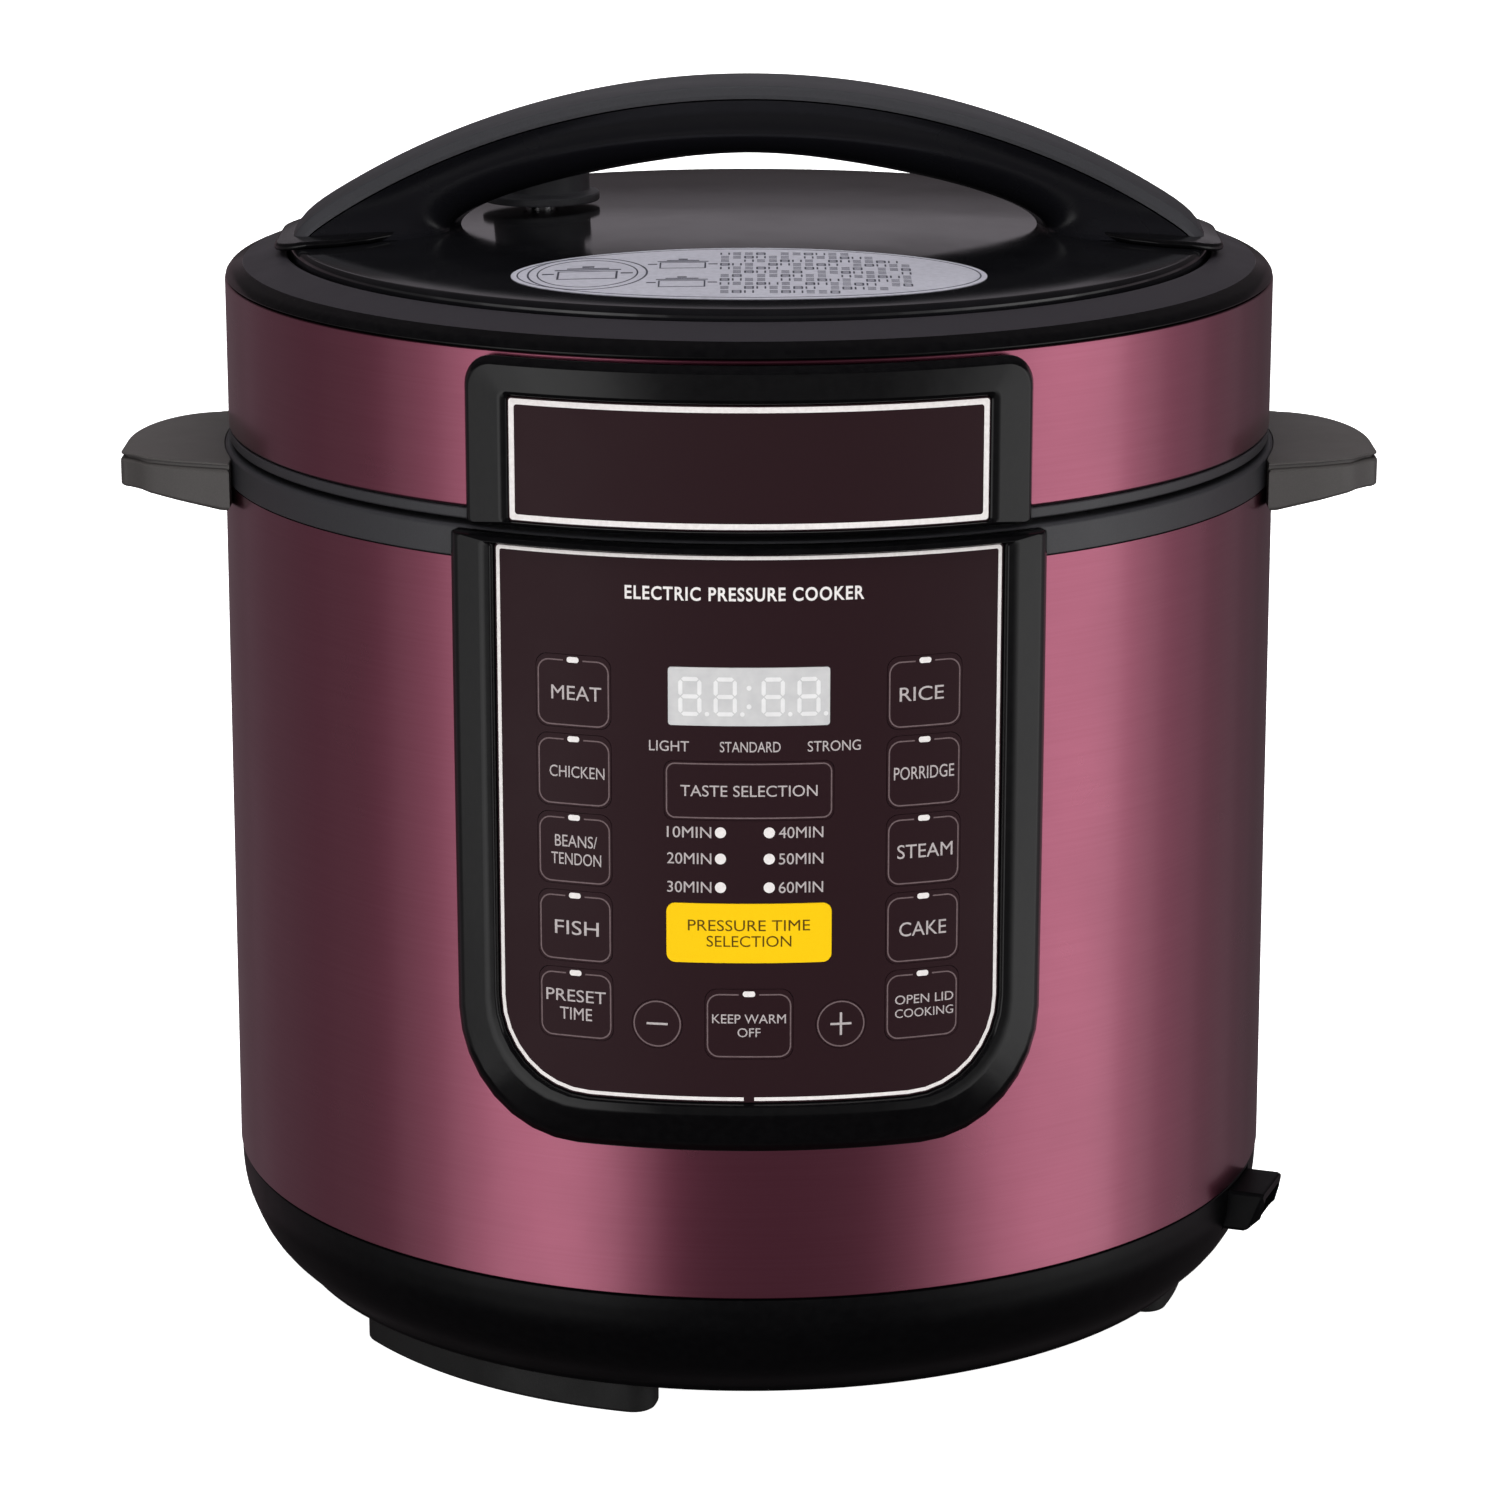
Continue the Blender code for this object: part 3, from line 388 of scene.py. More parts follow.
def loop(half, bottom, top, low_corner, high_corner, start="top", gap=0.0, steps=8):
    """A rounded rectangle, anticlockwise from the middle of its top or bottom edge, open there by gap."""
    corners = {
        "top left": corner_arc((-half + high_corner, top - high_corner), high_corner, 90, steps),
        "bottom left": corner_arc((-half + low_corner, bottom + low_corner), low_corner, 180, steps),
        "bottom right": corner_arc((half - low_corner, bottom + low_corner), low_corner, 270, steps),
        "top right": corner_arc((half - high_corner, top - high_corner), high_corner, 0, steps),
    }
    order = ["top left", "bottom left", "bottom right", "top right"]
    edge, side = top, -1
    if start == "bottom":
        order = order[2:] + order[:2]
        edge, side = bottom, 1
    points = [point for key in order for point in corners[key]]
    if gap:
        points = [(side * gap / 2, edge)] + points + [(-side * gap / 2, edge)]
    return points


def circle(radius, steps=40, at=(0, 0)):
    angles = [2 * pi * k / steps for k in range(steps)]
    return [(at[0] + radius * cos(a), at[1] + radius * sin(a)) for a in angles]


def ellipse(across, along, at=(0, 0), steps=96):
    return [(at[0] + across * x, at[1] + along * y) for x, y in circle(1, steps)]


def shifted(outline, across, up):
    return [(x + across, y + up) for x, y in outline]


def rectangle(left, bottom, right, top):
    return [(left, bottom), (right, bottom), (right, top), (left, top)]


def add_curve(shape, curve, place):
    """Add a filled 2D curve or text to a shape; place moves each of its points."""
    flat = bpy.data.objects.new("flat", curve)
    COLLECTION.objects.link(flat)
    graph = bpy.context.evaluated_depsgraph_get()
    mesh = bpy.data.meshes.new_from_object(flat.evaluated_get(graph))
    bpy.data.objects.remove(flat, do_unlink=True)
    bpy.data.curves.remove(curve)
    points = [vertex.co.copy() for vertex in mesh.vertices]
    if points:
        put = place(points)
        for vertex in mesh.vertices:
            vertex.co = put(*vertex.co)
    part = bmesh.new()
    part.from_mesh(mesh)
    bpy.data.meshes.remove(mesh)
    bmesh.ops.remove_doubles(part, verts=part.verts, dist=0.000001)
    bmesh.ops.recalc_face_normals(part, faces=part.faces)
    join(shape, part)


def add_plate(shape, outlines, bottom, top, edge=0.0, edge_steps=2):
    """Add a plate between two heights, cut to flat outlines, with its edges rounded by edge."""
    curve = bpy.data.curves.new("plate", "CURVE")
    curve.dimensions = "2D"
    curve.fill_mode = "BOTH"
    curve.extrude = (top - bottom) / 2 - edge
    curve.bevel_depth = edge
    curve.bevel_resolution = edge_steps
    curve.offset = -edge
    for outline in outlines:
        spline = curve.splines.new("POLY")
        spline.points.add(len(outline) - 1)
        spline.use_cyclic_u = True
        for point, (x, y) in zip(spline.points, outline):
            point.co = (x, y, 0, 1)
    middle = (bottom + top) / 2
    add_curve(shape, curve, lambda points: lambda x, y, z: (x, y, z + middle))


def add_ink(shape, *outlines):
    """Add a printed mark, cut to flat outlines."""
    add_plate(shape, outlines, -INK / 2, INK)


def add_text(shape, text, centre, width, tall, bold=0.0, spacing=1.0):
    """Add one line of capitals in the built-in typeface, fitted to a width and a height."""
    curve = bpy.data.curves.new("text", "FONT")
    curve.body = text
    curve.size = tall
    curve.space_character = spacing
    curve.extrude = 0.75 * INK
    curve.offset = bold
    curve.resolution_u = 4
    middle = 0.25 * INK

    def fitted(points):
        left, right = min(p.x for p in points), max(p.x for p in points)
        base, cap = min(p.y for p in points), max(p.y for p in points)
        grow_x, grow_y = width / (right - left), tall / (cap - base)
        mid_x, mid_y = (left + right) / 2, (base + cap) / 2
        return lambda x, y, z: (
            centre[0] + (x - mid_x) * grow_x, centre[1] + (y - mid_y) * grow_y, z + middle)

    add_curve(shape, curve, fitted)


def cut_at(shape, place, axis):
    """Cut a shape's faces where they cross a plane."""
    point, normal = [0, 0, 0], [0, 0, 0]
    point[axis], normal[axis] = place, 1
    everything = shape.verts[:] + shape.edges[:] + shape.faces[:]
    bmesh.ops.bisect_plane(shape, geom=everything, dist=0.0000005, plane_co=point, plane_no=normal)


def cut_strips(shape, step, axis=0):
    """Cut a flat shape along one axis so that it can be bent."""
    values = [vertex.co[axis] for vertex in shape.verts]
    for i in range(int(min(values) / step) - 1, int(max(values) / step) + 2):
        cut_at(shape, i * step, axis)


def mirror(shape):
    """Turn a right-hand shape into the left-hand one."""
    for vertex in shape.verts:
        vertex.co.x *= -1
    bmesh.ops.reverse_faces(shape, faces=shape.faces)


def bend(shape, radius):
    """Wrap a flat shape round the axis, its zero height at that radius."""
    cut_strips(shape, BEND_STEP)
    for vertex in shape.verts:
        x, y, over = vertex.co
        angle = x / FILM_R
        vertex.co = ((radius + over) * sin(angle), -(radius + over) * cos(angle), y)
    return shape


def bent(name, shape, body, surface, replaces=(), radius=FILM_R):
    """Make a flat shape a piece, wrapped round the axis. Its edges keep plain normals."""
    return piece(name, to_mesh(bend(shape, radius)), body, surface, replaces, 34, False)


def bent_ring(name, outer, inner, section, body, surface, replaces=(), tilt=0.0):
    """A frame between two outlines of equal point count, bent round the axis.

    section runs round the frame's own cross-section, as (share of the way from outer to inner, radius). Tilt
    is how much further back the outer edge lies above and below than it does at the sides.
    """
    rings = []
    for share, level in section:
        ring = []
        for (ox, oz), (ix, iz) in zip(outer, inner):
            steep = ((oz - iz) / hypot(ox - ix, oz - iz)) ** 2
            radius = max(SHELL_R + 0.0003, level - tilt * steep * (1 - share))
            angle = (ox + (ix - ox) * share) / FILM_R
            ring.append((radius * sin(angle), -radius * cos(angle), oz + (iz - oz) * share))
        rings.append(ring)
    return piece(name, to_mesh(loft(rings, closed=True)), body, surface, replaces, 50)


def dense(outline, longest=0.002):
    """Add points to an outline's straight stretches, so many that no two are further apart than longest."""
    points = []
    for (x0, y0), (x1, y1) in zip(outline, outline[1:] + outline[:1]):
        count = max(1, round(hypot(x1 - x0, y1 - y0) / longest))
        points += [(x0 + (x1 - x0) * k / count, y0 + (y1 - y0) * k / count) for k in range(count)]
    return points


def between(one, other, share):
    return tuple(a + (b - a) * share for a, b in zip(one, other))


def dense_pair(outer, inner, longest=0.002):
    """Two outlines with matching points, both made dense by the outer one's lengths."""
    dense_outer, dense_inner = [], []
    for a, b, c, d in zip(outer, outer[1:] + outer[:1], inner, inner[1:] + inner[:1]):
        count = max(1, round(hypot(b[0] - a[0], b[1] - a[1]) / longest))
        dense_outer += [between(a, b, k / count) for k in range(count)]
        dense_inner += [between(c, d, k / count) for k in range(count)]
    return dense_outer, dense_inner


# ---------------------------------------------------------------- body


def make_body():
    outside = []
    for k in range(SHELL_ROWS):
        t = k / SHELL_ROWS
        outside.append((SHELL_R - SHELL_TAPER * (1 - t), SHELL_HIGH + (SHELL_LOW - SHELL_HIGH) * t))
    shell = turned("shell_skin", outside + [
        (SHELL_R, SHELL_LOW, 0.0003), (SHELL_R - SHELL_WALL, SHELL_LOW),
        (SHELL_R - SHELL_TAPER - SHELL_WALL, SHELL_HIGH),
    ], "cooker_body", "burgundy_steel", ["outer_shell"])
    window = bmesh.new()
    side_rim, foot_rim, top_rim = 0.0165, 0.0188, 0.009
    opening = loop(FRAME_HALF - side_rim, FRAME_LOW + foot_rim, SHELL_HIGH - top_rim, 0.015, 0.004)
    add_plate(window, [opening], -0.005, 0.005)
    cut_away(shell, bend(window, SHELL_R))

    collar_low = SHELL_HIGH + 0.0003
    turned("collar", [
        (COLLAR_R - 0.0003, COLLAR_TOP, 0.0011), (COLLAR_R, collar_low, 0.0004), (0.1374, collar_low),
        (0.1374, 0.218), (0.1356, 0.218), (0.1356, 0.2288, 0.001), (0.124, 0.2288, 0.0005),
        (0.124, 0.2322, 0.001),
    ], "cooker_body", "satin_black", ["collar_ring"])

    base = turned("base_housing_skin", [
        (0.138, 0.046), (0.138, 0.0397), (SHELL_R - 0.0004, 0.0397, 0.0006), (0.1391, 0.037, 0.002),
        (0.1386, 0.03, 0.008), (0.134, 0.0185, 0.008), (0.1258, 0.0112, 0.0012), (0.1252, 0.0097, 0.0006),
        (0.1, 0.0095), (0.1, 0.012), (0.1232, 0.012), (0.1316, 0.02), (0.136, 0.031),
        (0.136, 0.046),
    ], "cooker_body", "base_black", ["base_housing"])
    notch, play = bmesh.new(), 0.0003
    half = INLET_HALF + play
    add_plate(notch, [rectangle(-half, -0.15, half, -0.118)], INLET_LOW - play, INLET_HIGH + play)
    turn(notch, INLET_AZIMUTH)
    cut_away(base, notch)

    for name, azimuth in FEET:
        make_foot(name, azimuth)
    for side, name in ((-1, "side_handle_left"), (1, "side_handle_right")):
        make_side_handle(name, side)


def turn(shape, azimuth):
    """Turn a shape about the axis, from the front towards the right."""
    a = radians(azimuth)
    for vertex in shape.verts:
        x, y, z = vertex.co
        vertex.co = (x * cos(a) - y * sin(a), x * sin(a) + y * cos(a), z)


def make_foot(name, azimuth):
    """A curved bar of rubber under the base."""
    inner, outer, half, corner = 0.106, 0.1203, radians(23.5), 0.006
    middle_r = (inner + outer) / 2
    flat = dense(loop(middle_r * half, inner - middle_r, outer - middle_r, corner, corner), 0.003)
    outline = [((middle_r + y) * sin(x / middle_r), -(middle_r + y) * cos(x / middle_r)) for x, y in flat]
    shape = bmesh.new()
    add_plate(shape, [outline], 0, high(name).z, 0.0012, 3)
    turn(shape, azimuth)
    piece(name + "_pad", to_mesh(shape), "cooker_body", "rubber", [name])


def side_handle_outline(inset):
    """The paddle's plan, from the front root round the tip to the rear root; inset pulls in free edges."""
    tip, edge = SIDE_TIP - inset, 0.029 - inset
    front = 0.0035
    across, along = 0.022, 0.04      # the rear corner is a quarter of an ellipse
    points = [(0.134, -0.0429 + inset), (0.148, -0.0385 + inset), (0.156, -0.0347 + inset)]
    points += [(tip - front + front * sin(radians(a)), -edge + front - front * cos(radians(a)))
               for a in range(20, 91, 14)]
    points += [(tip - across + across * cos(radians(a)), edge - along + along * sin(radians(a)))
               for a in range(0, 91, 6)]
    points += [(0.144, edge), (0.1385, edge + 0.002), (0.134, 0.0385)]
    return dense(points, 0.003)


def make_side_handle(name, side):
    """A paddle: a thin top plate over a groove, and a body whose underside drops towards the cooker."""
    root_low, top = heights(name)
    tip_low, slope_start, slope_end = root_low + 0.0035, 0.1365, SIDE_TIP - 0.006
    groove_top, groove_bottom = top - 0.0007, top - 0.0015
    shape = bmesh.new()
    for bottom, over, edge, inset in (
            (root_low, groove_bottom, 0.0013, 0.0),
            (groove_bottom - 0.0004, groove_top + 0.0002, 0.0, 0.0012),
            (groove_top, top, 0.0003, 0.0002)):
        part = bmesh.new()
        add_plate(part, [side_handle_outline(inset)], bottom, over, edge, 3)
        if bottom == root_low:
            for x in (0.144, slope_end):
                cut_at(part, x, 0)
            for vertex in part.verts:
                share = min(1, max(0, (vertex.co.x - slope_start) / (slope_end - slope_start)))
                reach = (groove_bottom - vertex.co.z) / (groove_bottom - root_low)
                vertex.co.z += share * reach * (tip_low - root_low)
        join(shape, part)
    root_r = SHELL_R - 0.0006
    for vertex in shape.verts:
        if hypot(vertex.co.x, vertex.co.y) < root_r:
            vertex.co.x = sqrt(root_r ** 2 - vertex.co.y ** 2)
    if side < 0:
        mirror(shape)
    piece(name + "_grip", to_mesh(shape), "cooker_body", "paddle_black", [name])


# ---------------------------------------------------------------- panel


def make_panel():
    outer = loop(FRAME_HALF, FRAME_LOW, FRAME_HIGH, FRAME_CORNER, SHARP_CORNER)
    inner = loop(FILM_HALF + SEAM, FILM_LOW - SEAM, FILM_HIGH + SEAM, FILM_CORNER, SHARP_CORNER)
    bent_ring("panel_frame_bezel", *dense_pair(outer, inner), rounded([
        (0.0, SHELL_R + 0.0003), (0.015, SHELL_R + 0.003, 0.06), (0.2, FRAME_R - 0.0004, 0.2),
        (0.8, FRAME_R, 0.1), (0.95, FRAME_R - 0.0006, 0.04), (0.985, FILM_R + 0.0002, 0.02),
        (1.0, FILM_R - 0.0006), (1.0, FILM_R - 0.003), (0.3, SHELL_R + 0.0003),
    ], True, 6), "cooker_body", "gloss_black", ["panel_frame"], 0.0026)

    film = bmesh.new()
    (middle_x, middle_z), half, tall = box_on_film("display_window")
    rise = tall / 2
    holes = [loop(FILM_HALF, FILM_LOW, FILM_HIGH, FILM_CORNER, SHARP_CORNER),
             shifted(loop(half + SEAM, -rise - SEAM, rise + SEAM, 0.0009, 0.0009), middle_x, middle_z)]
    holes += [make_key(name) for name in KEYS]
    add_plate(film, holes, -FILM_WALL, 0)
    bent("film", film, "cooker_body", "film_brown", ["panel_film"])

    prints, gap = bmesh.new(), 0.0026
    line_outside, line_inside = [
        loop(FILM_HALF - inset, FILM_LOW + inset, FILM_HIGH - inset + 0.0001, FILM_CORNER - inset, corner,
             "bottom", gap)
        for inset, corner in ((0.0004, 0.0009), (0.0013, 0.0006))]
    add_ink(prints, line_outside + line_inside[::-1])
    add_text(prints, "ELECTRIC PRESSURE COOKER", (-0.0011, 0.2206), 0.0576, 0.0034, 0.00007, 1.14)
    bent("film_white_print", prints, "cooker_body", "print_white")

    words, dots = bmesh.new(), bmesh.new()
    for text, across, width in (
            ("LIGHT", -0.0193, 0.0097), ("STANDARD", 0.0003, 0.0146), ("STRONG", 0.0206, 0.0129)):
        add_text(words, text, (across, 0.183), width, 0.0026)
    for row, z in enumerate((0.1616, 0.155, 0.1478)):
        for column, across in enumerate((-0.0145, 0.0126)):
            add_text(words, f"{10 * (row + 1 + 3 * column)}MIN", (across, z), 0.0108, 0.0028)
        for across in (-0.0069, 0.0049):
            add_ink(dots, circle(0.00135, 24, (across, z)))
    bent("film_grey_print", words, "cooker_body", "print_grey")
    bent("film_time_dots", dots, "cooker_body", "print_white")
    make_display(middle_x, middle_z, half, rise)


def box_on_film(node):
    """A plate's own middle on the film, half its length along the arc, and its height."""
    lowest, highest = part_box(node)
    across = (lowest.x + highest.x) / 2
    middle = FILM_R * atan2(across, AXIS_Y - (lowest.y + highest.y) / 2)
    on_middle = abs(across) < 0.0001
    half = arc_half(node, FILM_R) if on_middle else (highest.x - lowest.x) / 2 / cos(middle / FILM_R)
    return (middle, (lowest.z + highest.z) / 2), half, highest.z - lowest.z


def make_display(middle_x, middle_z, half, rise):
    """The display's face with four unlit digits, their points and a colon."""
    window = bmesh.new()
    outline = shifted(loop(half, -rise, rise, 0.0008, 0.0008), middle_x, middle_z)
    add_plate(window, [outline], -FILM_WALL, 0.00002)
    bent("display_face", window, "cooker_body", "display_grey", ["display_window"])
    digits, marks = bmesh.new(), []
    reach, climb, gap = 0.0023, 0.0043, 0.0002
    for across in (-0.0142, -0.0057, 0.0058, 0.0144):
        for z in (-climb, 0, climb):
            marks.append(shifted(bar(reach - gap), across, z))
        for x in (-reach, reach):
            for z in (-climb / 2, climb / 2):
                upright = [(right, up) for up, right in bar(climb / 2 - gap)][::-1]
                marks.append(shifted(upright, across + x, z))
        marks.append(circle(0.00055, 16, (across + 0.0041, -climb)))
    marks += [circle(0.0006, 16, (0, z)) for z in (-0.0024, 0.0022)]
    for mark in marks:
        add_plate(digits, [shifted(mark, middle_x, middle_z)], -INK, INK)
    bent("display_digits", digits, "cooker_body", "display_lit")


def bar(reach):
    """A display segment: a bar with pointed ends."""
    half = 0.0005
    return [(-reach, 0), (-reach + half, -half), (reach - half, -half), (reach, 0), (reach - half, half),
            (-reach + half, half)]


# key: rows of (text, width, height), shift of the text to the right
KEYS = {
    "meat": ([("MEAT", 0.0127, 0.0035)], 0.0008),
    "chicken": ([("CHICKEN", 0.014, 0.0029)], 0.0008),
    "beans": ([("BEANS/", 0.0108, 0.003), ("TENDON", 0.0128, 0.003)], 0.0004),
    "fish": ([("FISH", 0.0113, 0.0036)], 0.0004),
    "preset": ([("PRESET", 0.0154, 0.0031), ("TIME", 0.0083, 0.0031)], 0.0),
    "rice": ([("RICE", 0.0112, 0.0035)], -0.0008),
    "porridge": ([("PORRIDGE", 0.0154, 0.0032)], 0.0),
    "steam": ([("STEAM", 0.0142, 0.0035)], 0.0004),
    "cake": ([("CAKE", 0.0121, 0.0036)], 0.0),
    "open_lid": ([("OPEN LID", 0.0151, 0.0023), ("COOKING", 0.0151, 0.0022)], 0.0006),
    "taste": ([("TASTE SELECTION", 0.0331, 0.0028)], 0.0),
    "pressure_time": ([("PRESSURE TIME", 0.0297, 0.0028), ("SELECTION", 0.0206, 0.0028)], 0.0),
    "keep_warm": ([("KEEP WARM", 0.018, 0.0023), ("OFF", 0.0056, 0.0023)], 0.0),
    "minus": ([], 0.0),
    "plus": ([], 0.0),
}
LINE_PITCH = {
    "preset": 0.0046, "beans": 0.0045, "open_lid": 0.0035, "pressure_time": 0.004, "keep_warm": 0.0035,
}
WITHOUT_LED = ("taste", "pressure_time", "minus", "plus")
KEY_LINE = 0.00034          # printed line's width


def make_key(name):
    """One key with its printed line, light and legend. Returns its hole in the film."""
    middle, half, tall = box_on_film("key_" + name)
    body = "key_" + name
    rise = tall / 2
    line, rim = bmesh.new(), 0.0004
    if name in ("minus", "plus"):
        plate, hole = circle(half + 0.0003), circle(half + 0.0003 + SEAM)
        add_ink(line, shifted(circle(half), *middle), shifted(circle(half - KEY_LINE), *middle))
    elif name == "pressure_time":
        plate = loop(half, -rise, rise, 0.0022, 0.0022)
        hole = loop(half + SEAM, -rise - SEAM, rise + SEAM, 0.0023, 0.0023)
    else:
        above, gap = (rim, 0.0) if name in WITHOUT_LED else (0.0012, 0.005)
        corner = 0.0022 if name == "taste" else 0.003
        plate, hole = [
            loop(half + rim + play, -rise - rim - play, rise + above + play, corner, corner)
            for play in (0, SEAM)]
        outer, inner = [
            loop(half - thin, -rise + thin, rise - thin, corner - thin, corner - thin, "top", gap)
            for thin in (0, KEY_LINE)]
        outer, inner = shifted(outer, *middle), shifted(inner, *middle)
        add_ink(line, *([outer + inner[::-1]] if gap else [outer, inner]))
    face = bmesh.new()
    add_plate(face, [shifted(plate, *middle)], -FILM_WALL, 0.00004)
    surface = "key_yellow" if name == "pressure_time" else "film_brown"
    bent(body + "_face", face, body, surface, [body])
    if line.verts:
        bent(body + "_line", line, body, "print_line")
    else:
        line.free()
    make_legend(name, middle, body, rise)
    return shifted(hole, *middle)


def make_legend(name, middle, body, rise):
    rows, shift = KEYS[name]
    legend = bmesh.new()
    pitch = LINE_PITCH.get(name, 0)
    for i, (text, width, letter) in enumerate(rows):
        z = middle[1] + pitch * ((len(rows) - 1) / 2 - i)
        add_text(legend, text, (middle[0] + shift, z), width, letter)
    half_stroke = 0.00028
    if name in ("minus", "plus"):
        add_ink(legend, shifted(rectangle(-0.0026, -half_stroke, 0.0026, half_stroke), *middle))
    if name == "plus":
        for z in (-0.0016, 0.0016):
            stub = rectangle(-half_stroke, -0.0013, half_stroke, 0.0013)
            add_ink(legend, shifted(stub, middle[0], middle[1] + z))
    bent(body + "_legend", legend, body, "print_dark" if name == "pressure_time" else "print_grey")
    if name not in WITHOUT_LED:
        light = bmesh.new()
        outline = loop(0.0015, -0.0007, 0.0007, 0.0006, 0.0006, steps=4)
        add_plate(light, [shifted(outline, middle[0], middle[1] + rise)], -INK / 2, 1.5 * INK)
        bent(body + "_light", light, body, "print_white")


# ---------------------------------------------------------------- lid
def dome(radius):
    """Height of the lid cover's upper face."""
    return COVER_TOP - COVER_DROP * (radius / COVER_EDGE_R) ** 2


def make_lid():
    lip_r, lip_top = LID_R - 0.0001, BAND_LOW - 0.0003
    turned("lid_lip", [
        (0.136, 0.27), (0.136, lip_top), (lip_r, lip_top, 0.0004),
        (lip_r, LIP_LOW, 0.0007), (0.1335, LIP_LOW, 0.0005), (0.1335, 0.27),
    ], "lid", "satin_black", ["lid_lip_ring"])
    turned("lid_band_skin", [
        (LID_R - 0.0004, BAND_HIGH), (LID_R, BAND_HIGH - 0.0004), (LID_R, BAND_LOW + 0.0005, 0.0003),
        (LID_R - 0.0005, BAND_LOW, 0.0002), (LID_R - 0.0009, BAND_LOW), (LID_R - 0.0009, BAND_HIGH),
    ], "lid", "burgundy_steel", ["lid_band"], smooth=60)
    ring_low = low("lid_top_ring").z
    ring = turned("lid_top_ring_skin", [
        (0.1211, 0.28), (0.1211, 0.282, 0.0008), (0.1226, 0.2828, 0.0008), (CREASE_R, CREASE_Z, 0.0002),
        (0.1362, 0.2783, 0.001), (LID_R, BAND_HIGH + 0.0004, 0.0006),
        (0.1361, BAND_HIGH + 0.0003), (0.1361, ring_low), (0.1325, ring_low), (0.1325, 0.2758),
    ], "lid", ["dark_ring", "gloss_black"], ["lid_top_ring"], smooth=12)
    for face in ring.data.polygons:
        if hypot(face.center.x, face.center.y) > CREASE_R - 0.0001:
            face.material_index = 1
    steps = 12
    top = [(COVER_EDGE_R * k / steps, dome(COVER_EDGE_R * k / steps)) for k in range(steps + 1)]
    under = [(r, z - COVER_WALL) for r, z in reversed(top[:-1])]
    cover = turned("lid_cover_skin", top + [
        (RIM_R, 0.2842, 0.001), (RIM_R, 0.2782), (0.1182, 0.2782), (0.1182, dome(0.1182) - COVER_WALL),
    ] + under, "lid", "cover_black", ["lid_cover"])
    drill(cover, 0.0056, 0.0031, 0.27, 0.3)
    make_badge()
    make_label()


def make_badge():
    """The blank badge on the lid's front, which continues the key panel upwards."""
    outer_r = AXIS_Y - low("badge_frame").y
    field_r = AXIS_Y - low("badge_plate").y
    bottom, top = heights("badge_frame")
    field_low, field_high = heights("badge_plate")
    half, field_half = arc_half("badge_frame", outer_r), arc_half("badge_plate", field_r)

    def field(shrink, corner):
        return loop(field_half - shrink, field_low + shrink, field_high - shrink, corner, corner)

    outer = loop(half, bottom, top, SHARP_CORNER, 0.0075)
    bent_ring("badge_bezel", *dense_pair(outer, field(-SEAM, SHARP_CORNER)), rounded([
        (0.0, LID_R + 0.0003), (0.01, LID_R + 0.0026, 0.05), (0.14, outer_r - 0.0004, 0.1),
        (0.86, outer_r, 0.1), (0.95, outer_r - 0.0004, 0.04), (0.985, field_r + 0.0001, 0.02),
        (1.0, field_r - 0.0003), (1.0, LID_R + 0.0015), (0.5, LID_R + 0.0003),
    ], True, 5), "lid", "gloss_black", ["badge_frame"])
    plate, border = bmesh.new(), bmesh.new()
    add_plate(plate, [field(0, SHARP_CORNER)], -0.0016, 0)
    bent("badge_field", plate, "lid", "film_brown", ["badge_plate"], field_r)
    add_ink(border, *(field(shrink, 0.0008) for shrink in (0.0003, 0.0017)))
    bent("badge_border", border, "lid", "print_white", (), field_r)


def lay_on_cover(name, shape, surface):
    """Lay a flat shape, drawn in plan, on the cover's dome."""
    for axis in (0, 1):
        cut_strips(shape, 0.006, axis)
    for vertex in shape.verts:
        vertex.co.z += dome(hypot(vertex.co.x, vertex.co.y))
    piece(name, to_mesh(shape), "lid", surface, (), 34, False)


def make_label():
    """The instruction label: pictograms and rows of marks that stand for text."""
    across, along = 0.059, 0.031
    middle_y = -0.078
    paper, ink = bmesh.new(), bmesh.new()
    add_plate(paper, [ellipse(across, along, (0, middle_y))], 0.00002, 0.00014)
    lay_on_cover("cover_label", paper, "label_silver")

    def ring(half_x, half_y, x, width):
        at = (x, middle_y)
        add_mark(ink, ellipse(half_x, half_y, at), ellipse(half_x - width, half_y - width, at))

    sign_x = -0.04
    ring(across - 0.0014, along - 0.0014, 0, 0.0004)
    ring(0.015, 0.019, sign_x, 0.0005)
    ring(0.0126, 0.0162, sign_x, 0.0004)
    add_pot_sign(ink, sign_x, middle_y, 0.0075)
    for y in (0.01, -0.012):
        add_pot_sign(ink, -0.0165, middle_y + y, 0.0058)
    row_pitch, column_pitch = 0.0046, 0.003
    for row in range(-5, 6):
        y = middle_y + row * row_pitch
        for column in range(16):
            x = -0.006 + column * column_pitch
            inside = ((x + 0.004) / across) ** 2 + ((y - middle_y) / along) ** 2 < 0.8
            word_gap = (column * 5 + row * 3) % 7 == 0
            if inside and not word_gap:
                add_sign(ink, x, y, (column * 3 + row * 5) % 4)
    lay_on_cover("cover_label_print", ink, "print_label")


def add_mark(ink, *outlines):
    add_plate(ink, outlines, 0.00011, 0.00018)


def add_sign(ink, x, y, kind):
    """A small block mark in one of four patterns; it is no letter."""
    half, tall, bar_half = 0.001, 0.0013, 0.00022
    if kind in (0, 2, 3):
        for level in (-tall, 0, tall):
            add_mark(ink, rectangle(x - half, y + level - bar_half, x + half, y + level + bar_half))
    if kind in (1, 2):
        for level in (-half, half):
            add_mark(ink, rectangle(x + level - bar_half, y - tall, x + level + bar_half, y + tall))


